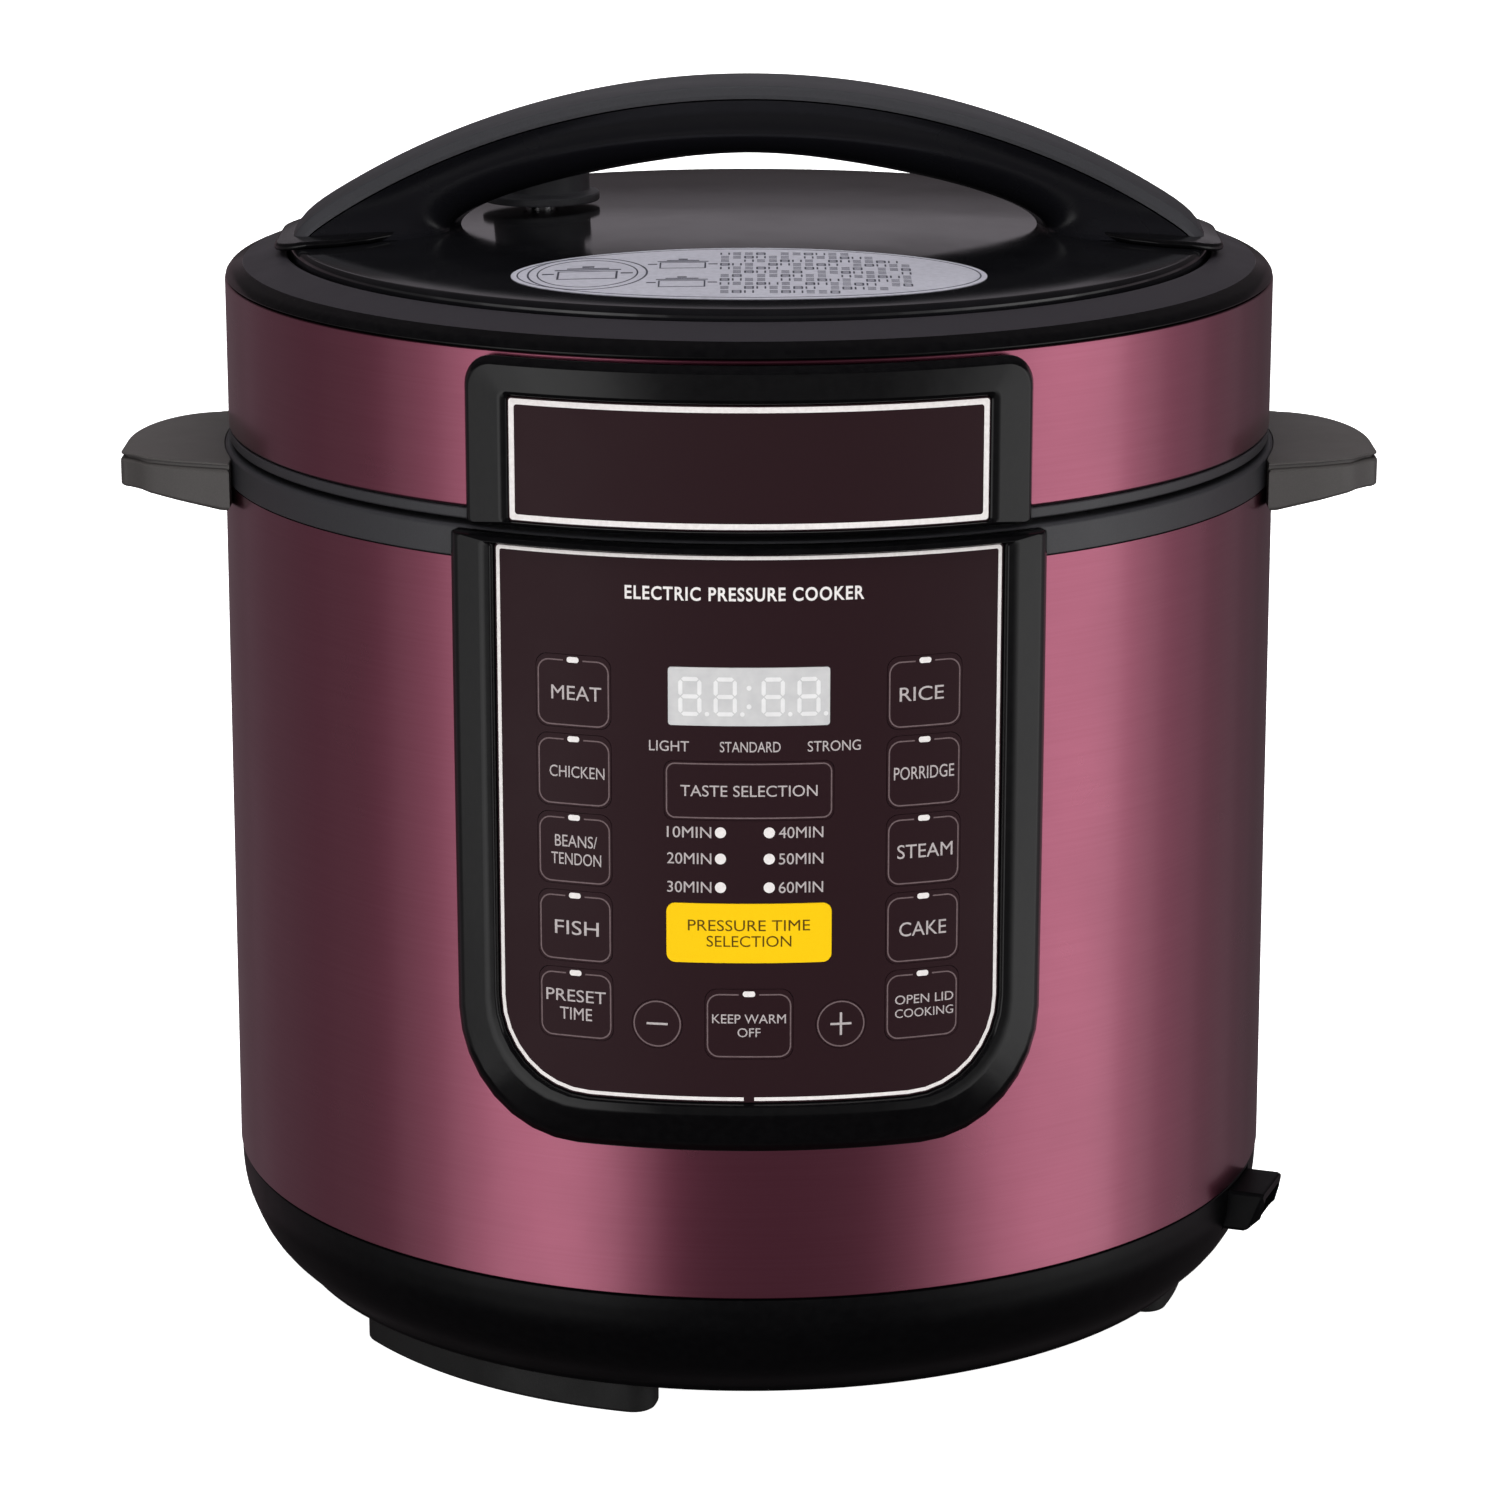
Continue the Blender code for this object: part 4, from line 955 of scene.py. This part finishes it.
def add_pot_sign(ink, x, y, size):
    """A pot seen from the side: its body, lid, knob and two ears."""
    line = 0.07 * size
    add_mark(ink, rectangle(x - size, y - 0.9 * size, x + size, y + 0.35 * size),
             rectangle(x - size + line, y - 0.9 * size + line, x + size - line, y + 0.35 * size - line))
    for left, bottom, right, top in (
            (-1.1, 0.5, 1.1, 0.62), (-0.7, 0.72, 0.7, 0.84), (-0.2, 0.94, 0.2, 1.15),
            (-1.5, -0.1, -1.1, 0.05), (1.1, -0.1, 1.5, 0.05)):
        add_mark(ink, rectangle(x + left * size, y + bottom * size, x + right * size, y + top * size))


# ---------------------------------------------------------------- lid handle
HANDLE_ARC_R = 0.21
HANDLE_END_X = 0.1192
HANDLE_HALF = 0.0148        # half its depth
HANDLE_CORNER = 0.005      # rounding of its ends, seen from above
FOOT_FLARE = 0.0085         # how far the foot spreads at the cover
FOOT_FLARE_HEIGHT = 0.0036  # the spread falls off with this height
REAR_FLARE = 0.001         # the spread at its back


def handle_path(depth, steps=96):
    """The handle's outer line at a depth below its top, from the left end over the arch to the right end."""
    centre_z = TOTAL_HEIGHT - HANDLE_ARC_R
    radius = HANDLE_ARC_R - depth
    end_x = HANDLE_END_X - depth
    bend_r = 0.006 - min(depth, 0.0045)
    last = (end_x - 0.6 * bend_r) / radius
    angles = [-last + 2 * last * k / steps for k in range(steps + 1)]
    arch = [(radius * sin(a), centre_z + radius * cos(a)) for a in angles]
    foot_z = dome(end_x) + 0.0002
    corner_z = arch[-1][1] - (end_x - arch[-1][0]) * tan(last)
    rise = corner_z - 0.6 * bend_r
    side = []
    for k in range(1, 7):
        t = k / 6
        side.append((
            (1 - t) ** 2 * arch[-1][0] + (1 - (1 - t) ** 2) * end_x,
            (1 - t) ** 2 * arch[-1][1] + 2 * t * (1 - t) * corner_z + t ** 2 * rise))
    side += [(end_x, rise + (foot_z - rise) * k / 4) for k in range(1, 5)]
    return [(-x, z) for x, z in reversed(side)] + arch + side


def arch_curve(half_span, base_z, apex_z, shoulder, lift, count):
    """A round-shouldered arch from foot to foot: two mirrored cubic curves."""
    points = []
    for k in range(count):
        t = abs(2 * k / (count - 1) - 1)
        weights = ((1 - t) ** 3, 3 * (1 - t) ** 2 * t, 3 * (1 - t) * t ** 2, t ** 3)
        x = weights[1] * shoulder + (weights[2] + weights[3]) * half_span
        z = (weights[0] + weights[1]) * apex_z + weights[2] * (base_z + lift) + weights[3] * base_z
        points.append((-x if k < count / 2 else x, z))
    return points


def half_depth(x, z, flare=FOOT_FLARE):
    """Half the handle's depth: rounded at its ends, and spreading where it meets the cover."""
    beyond = abs(x) - (HANDLE_END_X - HANDLE_CORNER)
    half = HANDLE_HALF
    if beyond > 0:
        half -= HANDLE_CORNER - sqrt(max(0, HANDLE_CORNER ** 2 - min(beyond, HANDLE_CORNER) ** 2))
    above = max(0, z - dome(abs(x)))
    return half + flare * exp(-above / FOOT_FLARE_HEIGHT)


def behind(front):
    """The handle's back for a row of its front: the same, but its foot spreads less."""
    return [(x, -y * half_depth(x, z, REAR_FLARE) / half_depth(x, z), z) for x, y, z in reversed(front)]


def make_lid_handle():
    crease, skin = 0.004, 0.0002
    outer = handle_path(crease + 2 * skin)
    count = len(outer)
    web_edge = arch_curve(0.0915, dome(0.0915), 0.3134, 0.0576, 0.0098, count)
    opening = arch_curve(0.0757, dome(0.0757), 0.3064, 0.022, 0.0082, count)
    web_rows, band_rows = 6, 6
    rings = []
    for outside, edge, inside in zip(outer, web_edge, opening):
        front = []
        for t in (k / web_rows for k in range(web_rows)):
            x, z = between(outside, edge, t)
            front.append((x, -(half_depth(x, z) - 0.0007 * sin(pi * t)), z))
        for t in (k / band_rows for k in range(band_rows + 1)):
            x, z = between(edge, inside, t)
            front.append((x, -half_depth(x, z) * sqrt(1 - t ** 1.6), z - 0.0006 * sin(pi * t)))
        rings.append(front + behind(front[:-1]))
    piece("lid_handle_body", to_mesh(loft(rings)), "lid", "handle_black", ["lid_handle"], 38)

    # the cap's section, as (share of the half depth, depth below the top)
    section = rounded([
        (0.0, 0.0), (0.6, 0.0002, 0.2), (0.93, 0.0008, 0.1), (1.0, 0.003, 0.002), (1.0, crease, 0.0004),
        (0.95, crease + skin), (0.0, crease + skin)], False, 4)
    paths = {depth: handle_path(depth) for _, depth in section}
    rings = []
    for i in range(count):
        front = []
        for share, depth in section:
            x, z = paths[depth][i]
            front.append((x, -share * half_depth(x, z), z))
        rings.append(front + behind(front[1:-1]))
    piece("lid_handle_cap", to_mesh(loft(rings)), "lid", "satin_black", ["handle_cap"], 38)
    for side, name in ((-1, "left"), (1, "right")):
        make_handle_tab(name, side)


def make_handle_tab(name, side):
    """The flat tab that the handle's foot stands on. It hangs over the cover's rim onto the ring."""
    front_half, rear_half, inner_x, outer_x, corner = 0.029, 0.019, 0.086, 0.1232, 0.011
    outline = []
    for half, way in ((front_half, -1), (rear_half, 1)):
        edge = [(inner_x, way * 0.015), (inner_x + 0.012, way * (half - 0.003)), (0.106, way * half)]
        for a in range(0, 91, 10):
            out, back = corner * sin(radians(a)), corner * cos(radians(a))
            edge.append((outer_x - corner + out, way * (half - corner + back)))
        outline += edge if way < 0 else edge[::-1]
    shape = bmesh.new()
    add_plate(shape, [outline], 0.0001, 0.0019, 0.0008, 3)
    for axis in (0, 1):
        cut_strips(shape, 0.003, axis)
    if side < 0:
        mirror(shape)
    bend_r = 0.118             # beyond this radius the tab hangs in a straight slope
    for vertex in shape.verts:
        radius = hypot(vertex.co.x, vertex.co.y)
        vertex.co.z += dome(min(radius, bend_r)) - 0.24 * max(0, radius - bend_r)
    piece("handle_tab_" + name, to_mesh(shape), "lid", "gloss_black")


# ---------------------------------------------------------------- valves
def make_valves():
    x, y = VALVE_AT
    bottom, top = heights("pressure_valve")
    base_r = (high("pressure_valve").x - low("pressure_valve").x) / 2
    turned("pressure_valve_knob", [
        (0, top), (0.0082, top, 0.0006), (0.0104, top - 0.0008, 0.0008), (0.0106, top - 0.0045, 0.0008),
        (0.013, top - 0.0051, 0.0005), (0.013, top - 0.0075, 0.0005), (0.0112, top - 0.0081, 0.0004),
        (0.0112, top - 0.0121, 0.0006), (0.0131, top - 0.0129, 0.0006), (0.0131, bottom + 0.0027, 0.0006),
        (base_r, bottom + 0.0021, 0.0005), (base_r, bottom, 0.0004), (0.005, bottom),
        (0.005, bottom + 0.0101), (0, bottom + 0.0101),
    ], "pressure_valve", "satin_black", ["pressure_valve"], SMALL_STEPS, (x, y))
    pipe_low, pipe_top = heights("vent_pipe")
    turned("vent_pipe_tube", [
        (0.003, pipe_top, 0.0003), (0.0042, pipe_top - 0.0015, 0.0004), (0.0042, pipe_low), (0.002, pipe_low),
        (0.002, pipe_top),
    ], "lid", "steel", ["vent_pipe"], SMALL_STEPS, (x, y))
    cap_low, cap_high = heights("anti_block_cap")
    cap = turned("anti_block_mesh_cap", [
        (0, cap_low + 0.0014), (0.0098, cap_low + 0.0014, 0.001), (0.0098, cap_high),
        (0.0112, cap_high, 0.0004), (0.0112, cap_low, 0.0018), (0, cap_low),
    ], "lid", "steel", ["anti_block_cap"], SMALL_STEPS, (x, y))
    for k in range(10):
        a = 2 * pi * k / 10
        hole = bmesh.new()
        add_plate(hole, [circle(0.0011, 12)], 0.0085, 0.0125)
        for vertex in hole.verts:
            across, up, out = vertex.co
            vertex.co = (x + out * sin(a) + across * cos(a), y - out * cos(a) + across * sin(a),
                         (cap_low + cap_high) / 2 + up)
        cut_away(cap, hole)
    float_low, float_top = heights("float_valve")
    turned("float_valve_pin", [
        (0, float_top), (0.0034, float_top - 0.0004, 0.0004), (0.004, float_top - 0.001, 0.0003),
        (0.0026, float_top - 0.0011), (0.0026, float_low + 0.0014), (0.0048, float_low + 0.0014, 0.0003),
        (0.0048, float_low, 0.0003), (0, float_low),
    ], "float_valve", "steel", ["float_valve"], 40, FLOAT_AT)


# ---------------------------------------------------------------- inside
LUG_PITCH, LUG_SHARE, LUG_EASE = 60, 0.44, 0.035        # degrees, and shares of a pitch


def lugged(name, corners, body, surface, node, root_r, tip_r, bottom, top):
    """A turned rim whose edge stands out into bayonet lugs, where the CAD ring has them."""
    shape = turned_shape(corners, LATHE_STEPS)
    for vertex in shape.verts:
        x, y, z = vertex.co
        in_rim = abs(hypot(x, y) - root_r) < 0.0009 and bottom < z < top
        phase = (atan2(y, x) * 180 / pi + 1) % LUG_PITCH / LUG_PITCH
        if in_rim and phase < LUG_SHARE:
            ease = min(1, phase / LUG_EASE, (LUG_SHARE - phase) / LUG_EASE)
            grow = 1 + (tip_r / root_r - 1) * ease
            vertex.co.x *= grow
            vertex.co.y *= grow
    return piece(name, to_mesh(shape), body, surface, [node])


def make_inside():
    liner_r, top = 0.1178, high("cooking_liner").z
    lugged("cooking_liner_skin", [
        (0.1225, top, 0.0004), (0.1225, top - 0.003, 0.0004), (liner_r + 0.001, top - 0.003, 0.0004),
        (liner_r + 0.001, 0.0566, 0.004), (0.1138, 0.05, 0.004), (0.036, 0.05), (0.036, 0.0512),
        (0.1132, 0.0512, 0.004), (liner_r, 0.057, 0.004), (liner_r, top, 0.0008),
    ], "cooker_body", "steel", "cooking_liner", 0.1225, 0.127, top - 0.004, top + 0.001)
    pot_low, pot_top = heights("inner_pot")
    wall, pot_r = 0.0018, 0.1118
    pot = turned("inner_pot_skin", [
        (0, pot_low + wall), (0.101, pot_low + wall, 0.006), (pot_r - wall, pot_low + 0.0102, 0.006),
        (pot_r - wall, pot_top - 0.0024, 0.002), (0.116, pot_top, 0.0012), (0.117, pot_top - 0.0006, 0.0004),
        (0.117, pot_top - 0.0018, 0.0004), (pot_r, pot_top - 0.0036, 0.002), (pot_r, pot_low + 0.0094, 0.006),
        (0.102, pot_low, 0.006), (0, pot_low),
    ], "inner_pot", ["pot_coating", "pot_outside"], ["inner_pot"])
    for face in pot.data.polygons:
        centre = face.center
        outward = face.normal.x * centre.x + face.normal.y * centre.y
        if outward > 0.0005 or face.normal.z < -0.5:
            face.material_index = 1
    marks = bmesh.new()
    for k, level in enumerate((0.095, 0.125, 0.155, 0.185)):
        half = 0.012 if k % 2 else 0.008
        add_plate(marks, [rectangle(-half, level - 0.0004, half, level + 0.0004)], -0.0001, 0.00005)
    for vertex in marks.verts:
        across, up, over = vertex.co
        angle = across / pot_r
        radius = pot_r - wall - over
        vertex.co = (radius * sin(angle), radius * cos(angle), up)
    piece("inner_pot_level_marks", to_mesh(marks), "inner_pot", "print_white", (), 34, False)

    ring_low, ring_high = heights("sealing_ring")
    turned("sealing_ring_rubber", [
        (0.1168, ring_high, 0.0008), (0.1172, ring_low + 0.0012, 0.001), (0.114, ring_low, 0.001),
        (0.1094, ring_low + 0.0006, 0.0006), (0.114, ring_low + 0.0034, 0.002), (0.11, ring_high, 0.0006),
    ], "lid_seal", "silicone", ["sealing_ring"])
    lid_top = high("inner_lid").z
    inner = lugged("inner_lid_pressing", [
        (0, lid_top), (0.04, lid_top), (0.044, lid_top - 0.0006, 0.003), (0.076, lid_top - 0.0006, 0.003),
        (0.08, lid_top, 0.003), (0.095, lid_top, 0.003), (0.105, lid_top - 0.0046, 0.005),
        (0.119, lid_top - 0.0094, 0.004), (0.1306, lid_top - 0.0094, 0.001),
        (0.1316, lid_top - 0.0104, 0.0006), (0.1316, 0.2345, 0.0003), (0.13, 0.2345), (0.13, 0.2366),
        (0.13, lid_top - 0.0109, 0.001), (0.1186, lid_top - 0.0109, 0.004), (0.1046, lid_top - 0.0061, 0.005),
        (0.0946, lid_top - 0.0015, 0.003), (0.08, lid_top - 0.0015, 0.003), (0.076, lid_top - 0.0021, 0.003),
        (0.044, lid_top - 0.0021, 0.003), (0.04, lid_top - 0.0015),
        (0, lid_top - 0.0015),
    ], "lid", "steel", "inner_lid", 0.13, 0.1276, 0.234, 0.2367)
    drill(inner, 0.0047, 0.0031, 0.245, 0.275)
    turned("seal_support_wire", [
        (0.1078, 0.244, 0.0011), (0.1078, 0.2416, 0.0011), (0.105, 0.2416, 0.0011), (0.105, 0.244, 0.0011),
    ], "lid", "steel", ["seal_support_ring"])
    turned("heating_plate_casting", [
        (0.097, 0.06, 0.001), (0.1, 0.058, 0.002), (0.1, 0.0517), (0.02, 0.0517), (0.02, 0.06, 0.001),
    ], "cooker_body", "cast_aluminium", ["heating_plate"])


# ---------------------------------------------------------------- back and right side
def make_inlet():
    """The socket's shroud, cut back at a slope below, and the three blades in it."""
    face, back, socket_floor = 0.1482, 0.126, 0.13       # distances from the axis
    wall, slope, corner = 0.0022, 0.0045, 0.0012
    middle_z = (INLET_LOW + INLET_HIGH) / 2
    outside = loop(INLET_HALF, INLET_LOW, INLET_HIGH, corner, corner, steps=4)
    inside = loop(INLET_HALF - wall, INLET_LOW + wall, INLET_HIGH - wall, corner, corner, steps=4)

    def front(z, inset=0.0):
        return -(face - inset - max(0, INLET_LOW + slope - z))

    socket = loft([
        [(x, -back, z) for x, z in outside],
        [(x, front(z, 0.0008), z) for x, z in outside],
        [(x * 0.97, front(z), z + (0.0003 if z < middle_z else -0.0003)) for x, z in outside],
        [(x, front(z), z) for x, z in inside],
        [(x, -socket_floor, z) for x, z in inside],
    ])
    turn(socket, INLET_AZIMUTH)
    piece("mains_inlet_shroud", to_mesh(socket), "cooker_body", "base_black", ["mains_inlet"])
    blades = bmesh.new()
    half_width, half_tall, blade_pitch = 0.0009, 0.0018, 0.0046
    for i in (-1, 0, 1):
        z = middle_z + (0.0012 if i == 0 else -0.0012)
        across = blade_pitch * i
        add_plate(blades, [rectangle(across - half_width, -(face - 0.008), across + half_width, -0.129)],
                  z - half_tall, z + half_tall, 0.0003, 1)
    turn(blades, INLET_AZIMUTH)
    piece("mains_inlet_blades", to_mesh(blades), "cooker_body", "brass")


def make_collector():
    """The condensation cup behind the body, and the bracket with rails that it slides on."""
    plate_r = SHELL_R + 0.0026
    bracket = bmesh.new()
    bracket_low, bracket_high = heights("collector_bracket")
    add_plate(bracket, [loop(0.0345, bracket_low, bracket_high, 0.004, 0.002)], -0.0022, 0, 0.0006, 3)
    bend(bracket, plate_r)
    turn(bracket, 180)
    cup_half = high("collector_cup").x - 0.0055
    bottom, top = heights("collector_cup")
    front_y, back_y = low("collector_cup").y - AXIS_Y, high("collector_cup").y - AXIS_Y
    rails = bmesh.new()
    for side in (-1, 1):
        left, right = sorted((side * (cup_half + 0.0008), side * (cup_half + 0.006)))
        add_plate(rails, [rectangle(left, plate_r - 0.0032, right, back_y - 0.004)],
                  top - 0.005, top - 0.002, 0.0006, 2)
    join(bracket, rails)
    piece("collector_rails", to_mesh(bracket), "cooker_body", "satin_black", ["collector_bracket"])

    deep, middle_y = (back_y - front_y) / 2, (front_y + back_y) / 2
    rings = []
    # up the cup's outside, over its rim and down its inside: change of its half width, inset of its front and
    # back, corner radius and height
    for wider, inset, corner, z in (
            (-0.003, 0.003, 0.003, bottom), (-0.0008, 0.0008, 0.004, bottom + 0.0008),
            (0, 0, 0.0045, bottom + 0.003), (0, 0, 0.0045, top - 0.0018),
            (0.0052, 0, 0.0045, top - 0.0015), (0.0055, 0, 0.0045, top - 0.0003),
            (0.0052, 0.0003, 0.0045, top), (-0.0016, 0.0016, 0.0035, top),
            (-0.0018, 0.0018, 0.0035, top - 0.001), (-0.0018, 0.0018, 0.0035, bottom + 0.0034),
            (-0.0032, 0.0032, 0.003, bottom + 0.0018)):
        outline = loop(cup_half + wider, -deep + inset, deep - inset, corner, corner, steps=6)
        rings.append([(x, y + middle_y, z) for x, y in outline])
    piece("collector_cup_clear", to_mesh(loft(rings)), "collector_cup", "clear_cup", ["collector_cup"])


# ---------------------------------------------------------------- sensor spring, and CAD nodes that stay
def make_sensor_spring():
    """The spring under the temperature sensor, which the sensor shortens as it goes down."""
    node = frame["nodes"]["sensor_spring"]
    low_z, high_z = heights("sensor_spring")
    wire = 0.0006
    turns, per_turn = 3, 24
    rise = high_z - low_z - 2 * wire
    radius = high("sensor_spring").x - wire
    rings = []
    for i in range(turns * per_turn + 1):
        a = 2 * pi * i / per_turn
        z = low_z + wire + rise * i / (turns * per_turn)
        rings.append([((radius + x) * cos(a), (radius + x) * sin(a), z + y) for x, y in circle(wire, 8)])
    coil = piece("sensor_spring_coil", to_mesh(loft(rings)), node["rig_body"], "steel", ["sensor_spring"], 60)
    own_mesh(coil)


def finish_cad_nodes():
    """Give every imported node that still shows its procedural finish."""
    slot_of_node = {}
    for entry in frame["record"]["materials"]:
        for node in entry.get("nodes", []):
            slot_of_node[node] = entry["slot"]
    for name, obj in frame["nodes"].items():
        slot = slot_of_node.get(name)
        if slot is None:
            old = obj.data.materials[0].name if obj.data.materials else ""
            slot = next((each for each in FINISHES if old.startswith(each)), "satin_black")
        for slot_in_object in obj.material_slots:
            slot_in_object.material = finish(slot)


# ---------------------------------------------------------------- stage
def area_light(name, location, target, size, power, colour=(1, 1, 1), glossy=True):
    data = bpy.data.lights.new(name, "AREA")
    data.shape = "RECTANGLE"
    data.size, data.size_y = size
    data.energy = power
    data.color = colour
    lamp = bpy.data.objects.new(name, data)
    lamp.location = location
    direction = Vector([t - l for t, l in zip(target, location)])
    lamp.rotation_euler = direction.to_track_quat("-Z", "Y").to_euler()
    lamp.visible_camera = False
    lamp.visible_glossy = glossy
    bpy.context.scene.collection.objects.link(lamp)


STAGE_R, STAGE_TALL = 6.0, 8.0


def add_stage(name, tone, height, hidden_from, build, **sizes):
    """Add a pale, glowing surface round the object, which some kinds of rays pass by."""
    shape = bmesh.new()
    build(shape, segments=96, **sizes)
    obj = bpy.data.objects.new(name, to_mesh(shape))
    obj.location = (0, 0, height)
    bpy.context.scene.collection.objects.link(obj)
    for kind in hidden_from:
        setattr(obj, "visible_" + kind, False)
    paper = bpy.data.materials.new(name + "_paper")
    paper.use_nodes = True
    colour = (tone, tone, tone, 1)
    set_inputs(paper.node_tree, paper.node_tree.nodes["Principled BSDF"], {
        "Base Color": colour, "Roughness": 0.9, "Specular IOR Level": 0.0,
        "Emission Color": colour, "Emission Strength": 1.0}, {})
    obj.data.materials.append(paper)


# The upright lights stand in a ring. One reaches from its own azimuth to the next one's, in degrees from the
# front towards the right, and has the radiance given. They make two soft highlights on the painted steel.
RING_LIGHTS = (
    (-164, 0.08), (-140, 0.12), (-120, 0.13), (-100, 0.17), (-80, 0.42), (-66, 0.9), (-56, 1.46), (-45, 1.78),
    (-33, 1.4), (-26, 0.62), (-19, 0.14), (-8, 0.13), (14, 0.15), (28, 0.3), (36, 0.58), (44, 1.0),
    (52, 1.38), (60, 1.6), (84, 0.72), (96, 0.38), (112, 0.18), (130, 0.08), (142, 0.04), (164, None),
)
RING_LIGHTS_AT = 1.6
RING_LIGHTS_LOW, RING_LIGHTS_HIGH = -0.72, 0.55
# The steel reflects white at a glancing angle, so the lights beside and behind it are tinted.
TINTS = ((90, (1.0, 1.0, 1.0)), (125, (1.0, 0.86, 0.94)), (145, (1.0, 0.76, 0.88)), (180, (1.0, 0.68, 0.8)))
# light behind the cooker, which the cover reflects: lower edge, upper edge, radiance
BACK_LIGHTS = (
    ("behind_low", 0.36, 0.5, 0.02), ("behind_middle", 0.5, 0.6, 0.09), ("behind_high", 0.6, 0.8, 0.26),
    ("behind_upper", 0.98, 1.45, 0.24), ("behind_top", 1.45, 1.85, 0.06),
)
BACK_TINT = (1.0, 0.93, 1.02)


def make_stage():
    add_stage("floor", 0.94, -0.0002, ("glossy", "diffuse"),
              bmesh.ops.create_circle, cap_ends=True, radius=STAGE_R)
    add_stage("backdrop", 0.98, STAGE_TALL / 2, ("glossy", "diffuse", "transmission", "shadow"),
              bmesh.ops.create_cone, cap_ends=False, radius1=STAGE_R, radius2=STAGE_R, depth=STAGE_TALL)
    world = bpy.data.worlds.new("studio")
    world.use_nodes = True
    set_inputs(world.node_tree, world.node_tree.nodes["Background"], {
        "Color": (1.0, 0.86, 0.92, 1), "Strength": 0.05}, {})
    bpy.context.scene.world = world

    middle_z, tall = (RING_LIGHTS_LOW + RING_LIGHTS_HIGH) / 2, RING_LIGHTS_HIGH - RING_LIGHTS_LOW
    for (start, radiance), (end, _) in zip(RING_LIGHTS, RING_LIGHTS[1:]):
        a = radians((start + end) / 2)
        at = (RING_LIGHTS_AT * sin(a), AXIS_Y - RING_LIGHTS_AT * cos(a), middle_z)
        size = (2 * RING_LIGHTS_AT * tan(radians(end - start) / 2), tall)
        tint = next(colour for limit, colour in TINTS if abs(start + end) / 2 <= limit)
        area_light(f"ring_{start}", at, (0, AXIS_Y, middle_z), size, radiance * pi * size[0] * size[1], tint)
    area_light("overhead", (0, -0.3, 2.4), (0, 0, 0), (2.4, 2.4), 62, glossy=False)
    area_light("front_fill", (0, -2.6, 1.0), (0, 0, 0.15), (2.2, 2.0), 52, glossy=False)
    area_light("rear_fill", (0, 2.7, 1.0), (0, 0, 0.15), (2.2, 2.0), 30, glossy=False)
    for name, bottom, top, radiance in BACK_LIGHTS:
        middle_z, size = (bottom + top) / 2, (1.3, top - bottom)
        power = radiance * pi * size[0] * size[1]
        area_light(name, (0, 2.3, middle_z), (0, 0, middle_z), size, power, BACK_TINT)
    bpy.context.scene.view_settings.view_transform = "Standard"


def make_camera():
    data = bpy.data.cameras.new("camera")
    data.sensor_width = 36
    data.lens = 116.7
    camera = bpy.data.objects.new("camera", data)
    camera.location = (0, AXIS_Y - 1.27, 0.482)
    camera.rotation_euler = (radians(90 - 14.88), 0, 0)
    bpy.context.scene.collection.objects.link(camera)
    bpy.context.scene.camera = camera


make_camera()
make_stage()
make_sensor_spring()
finish_cad_nodes()
make_body()
make_panel()
make_lid()
make_lid_handle()
make_valves()
make_inside()
make_inlet()
make_collector()
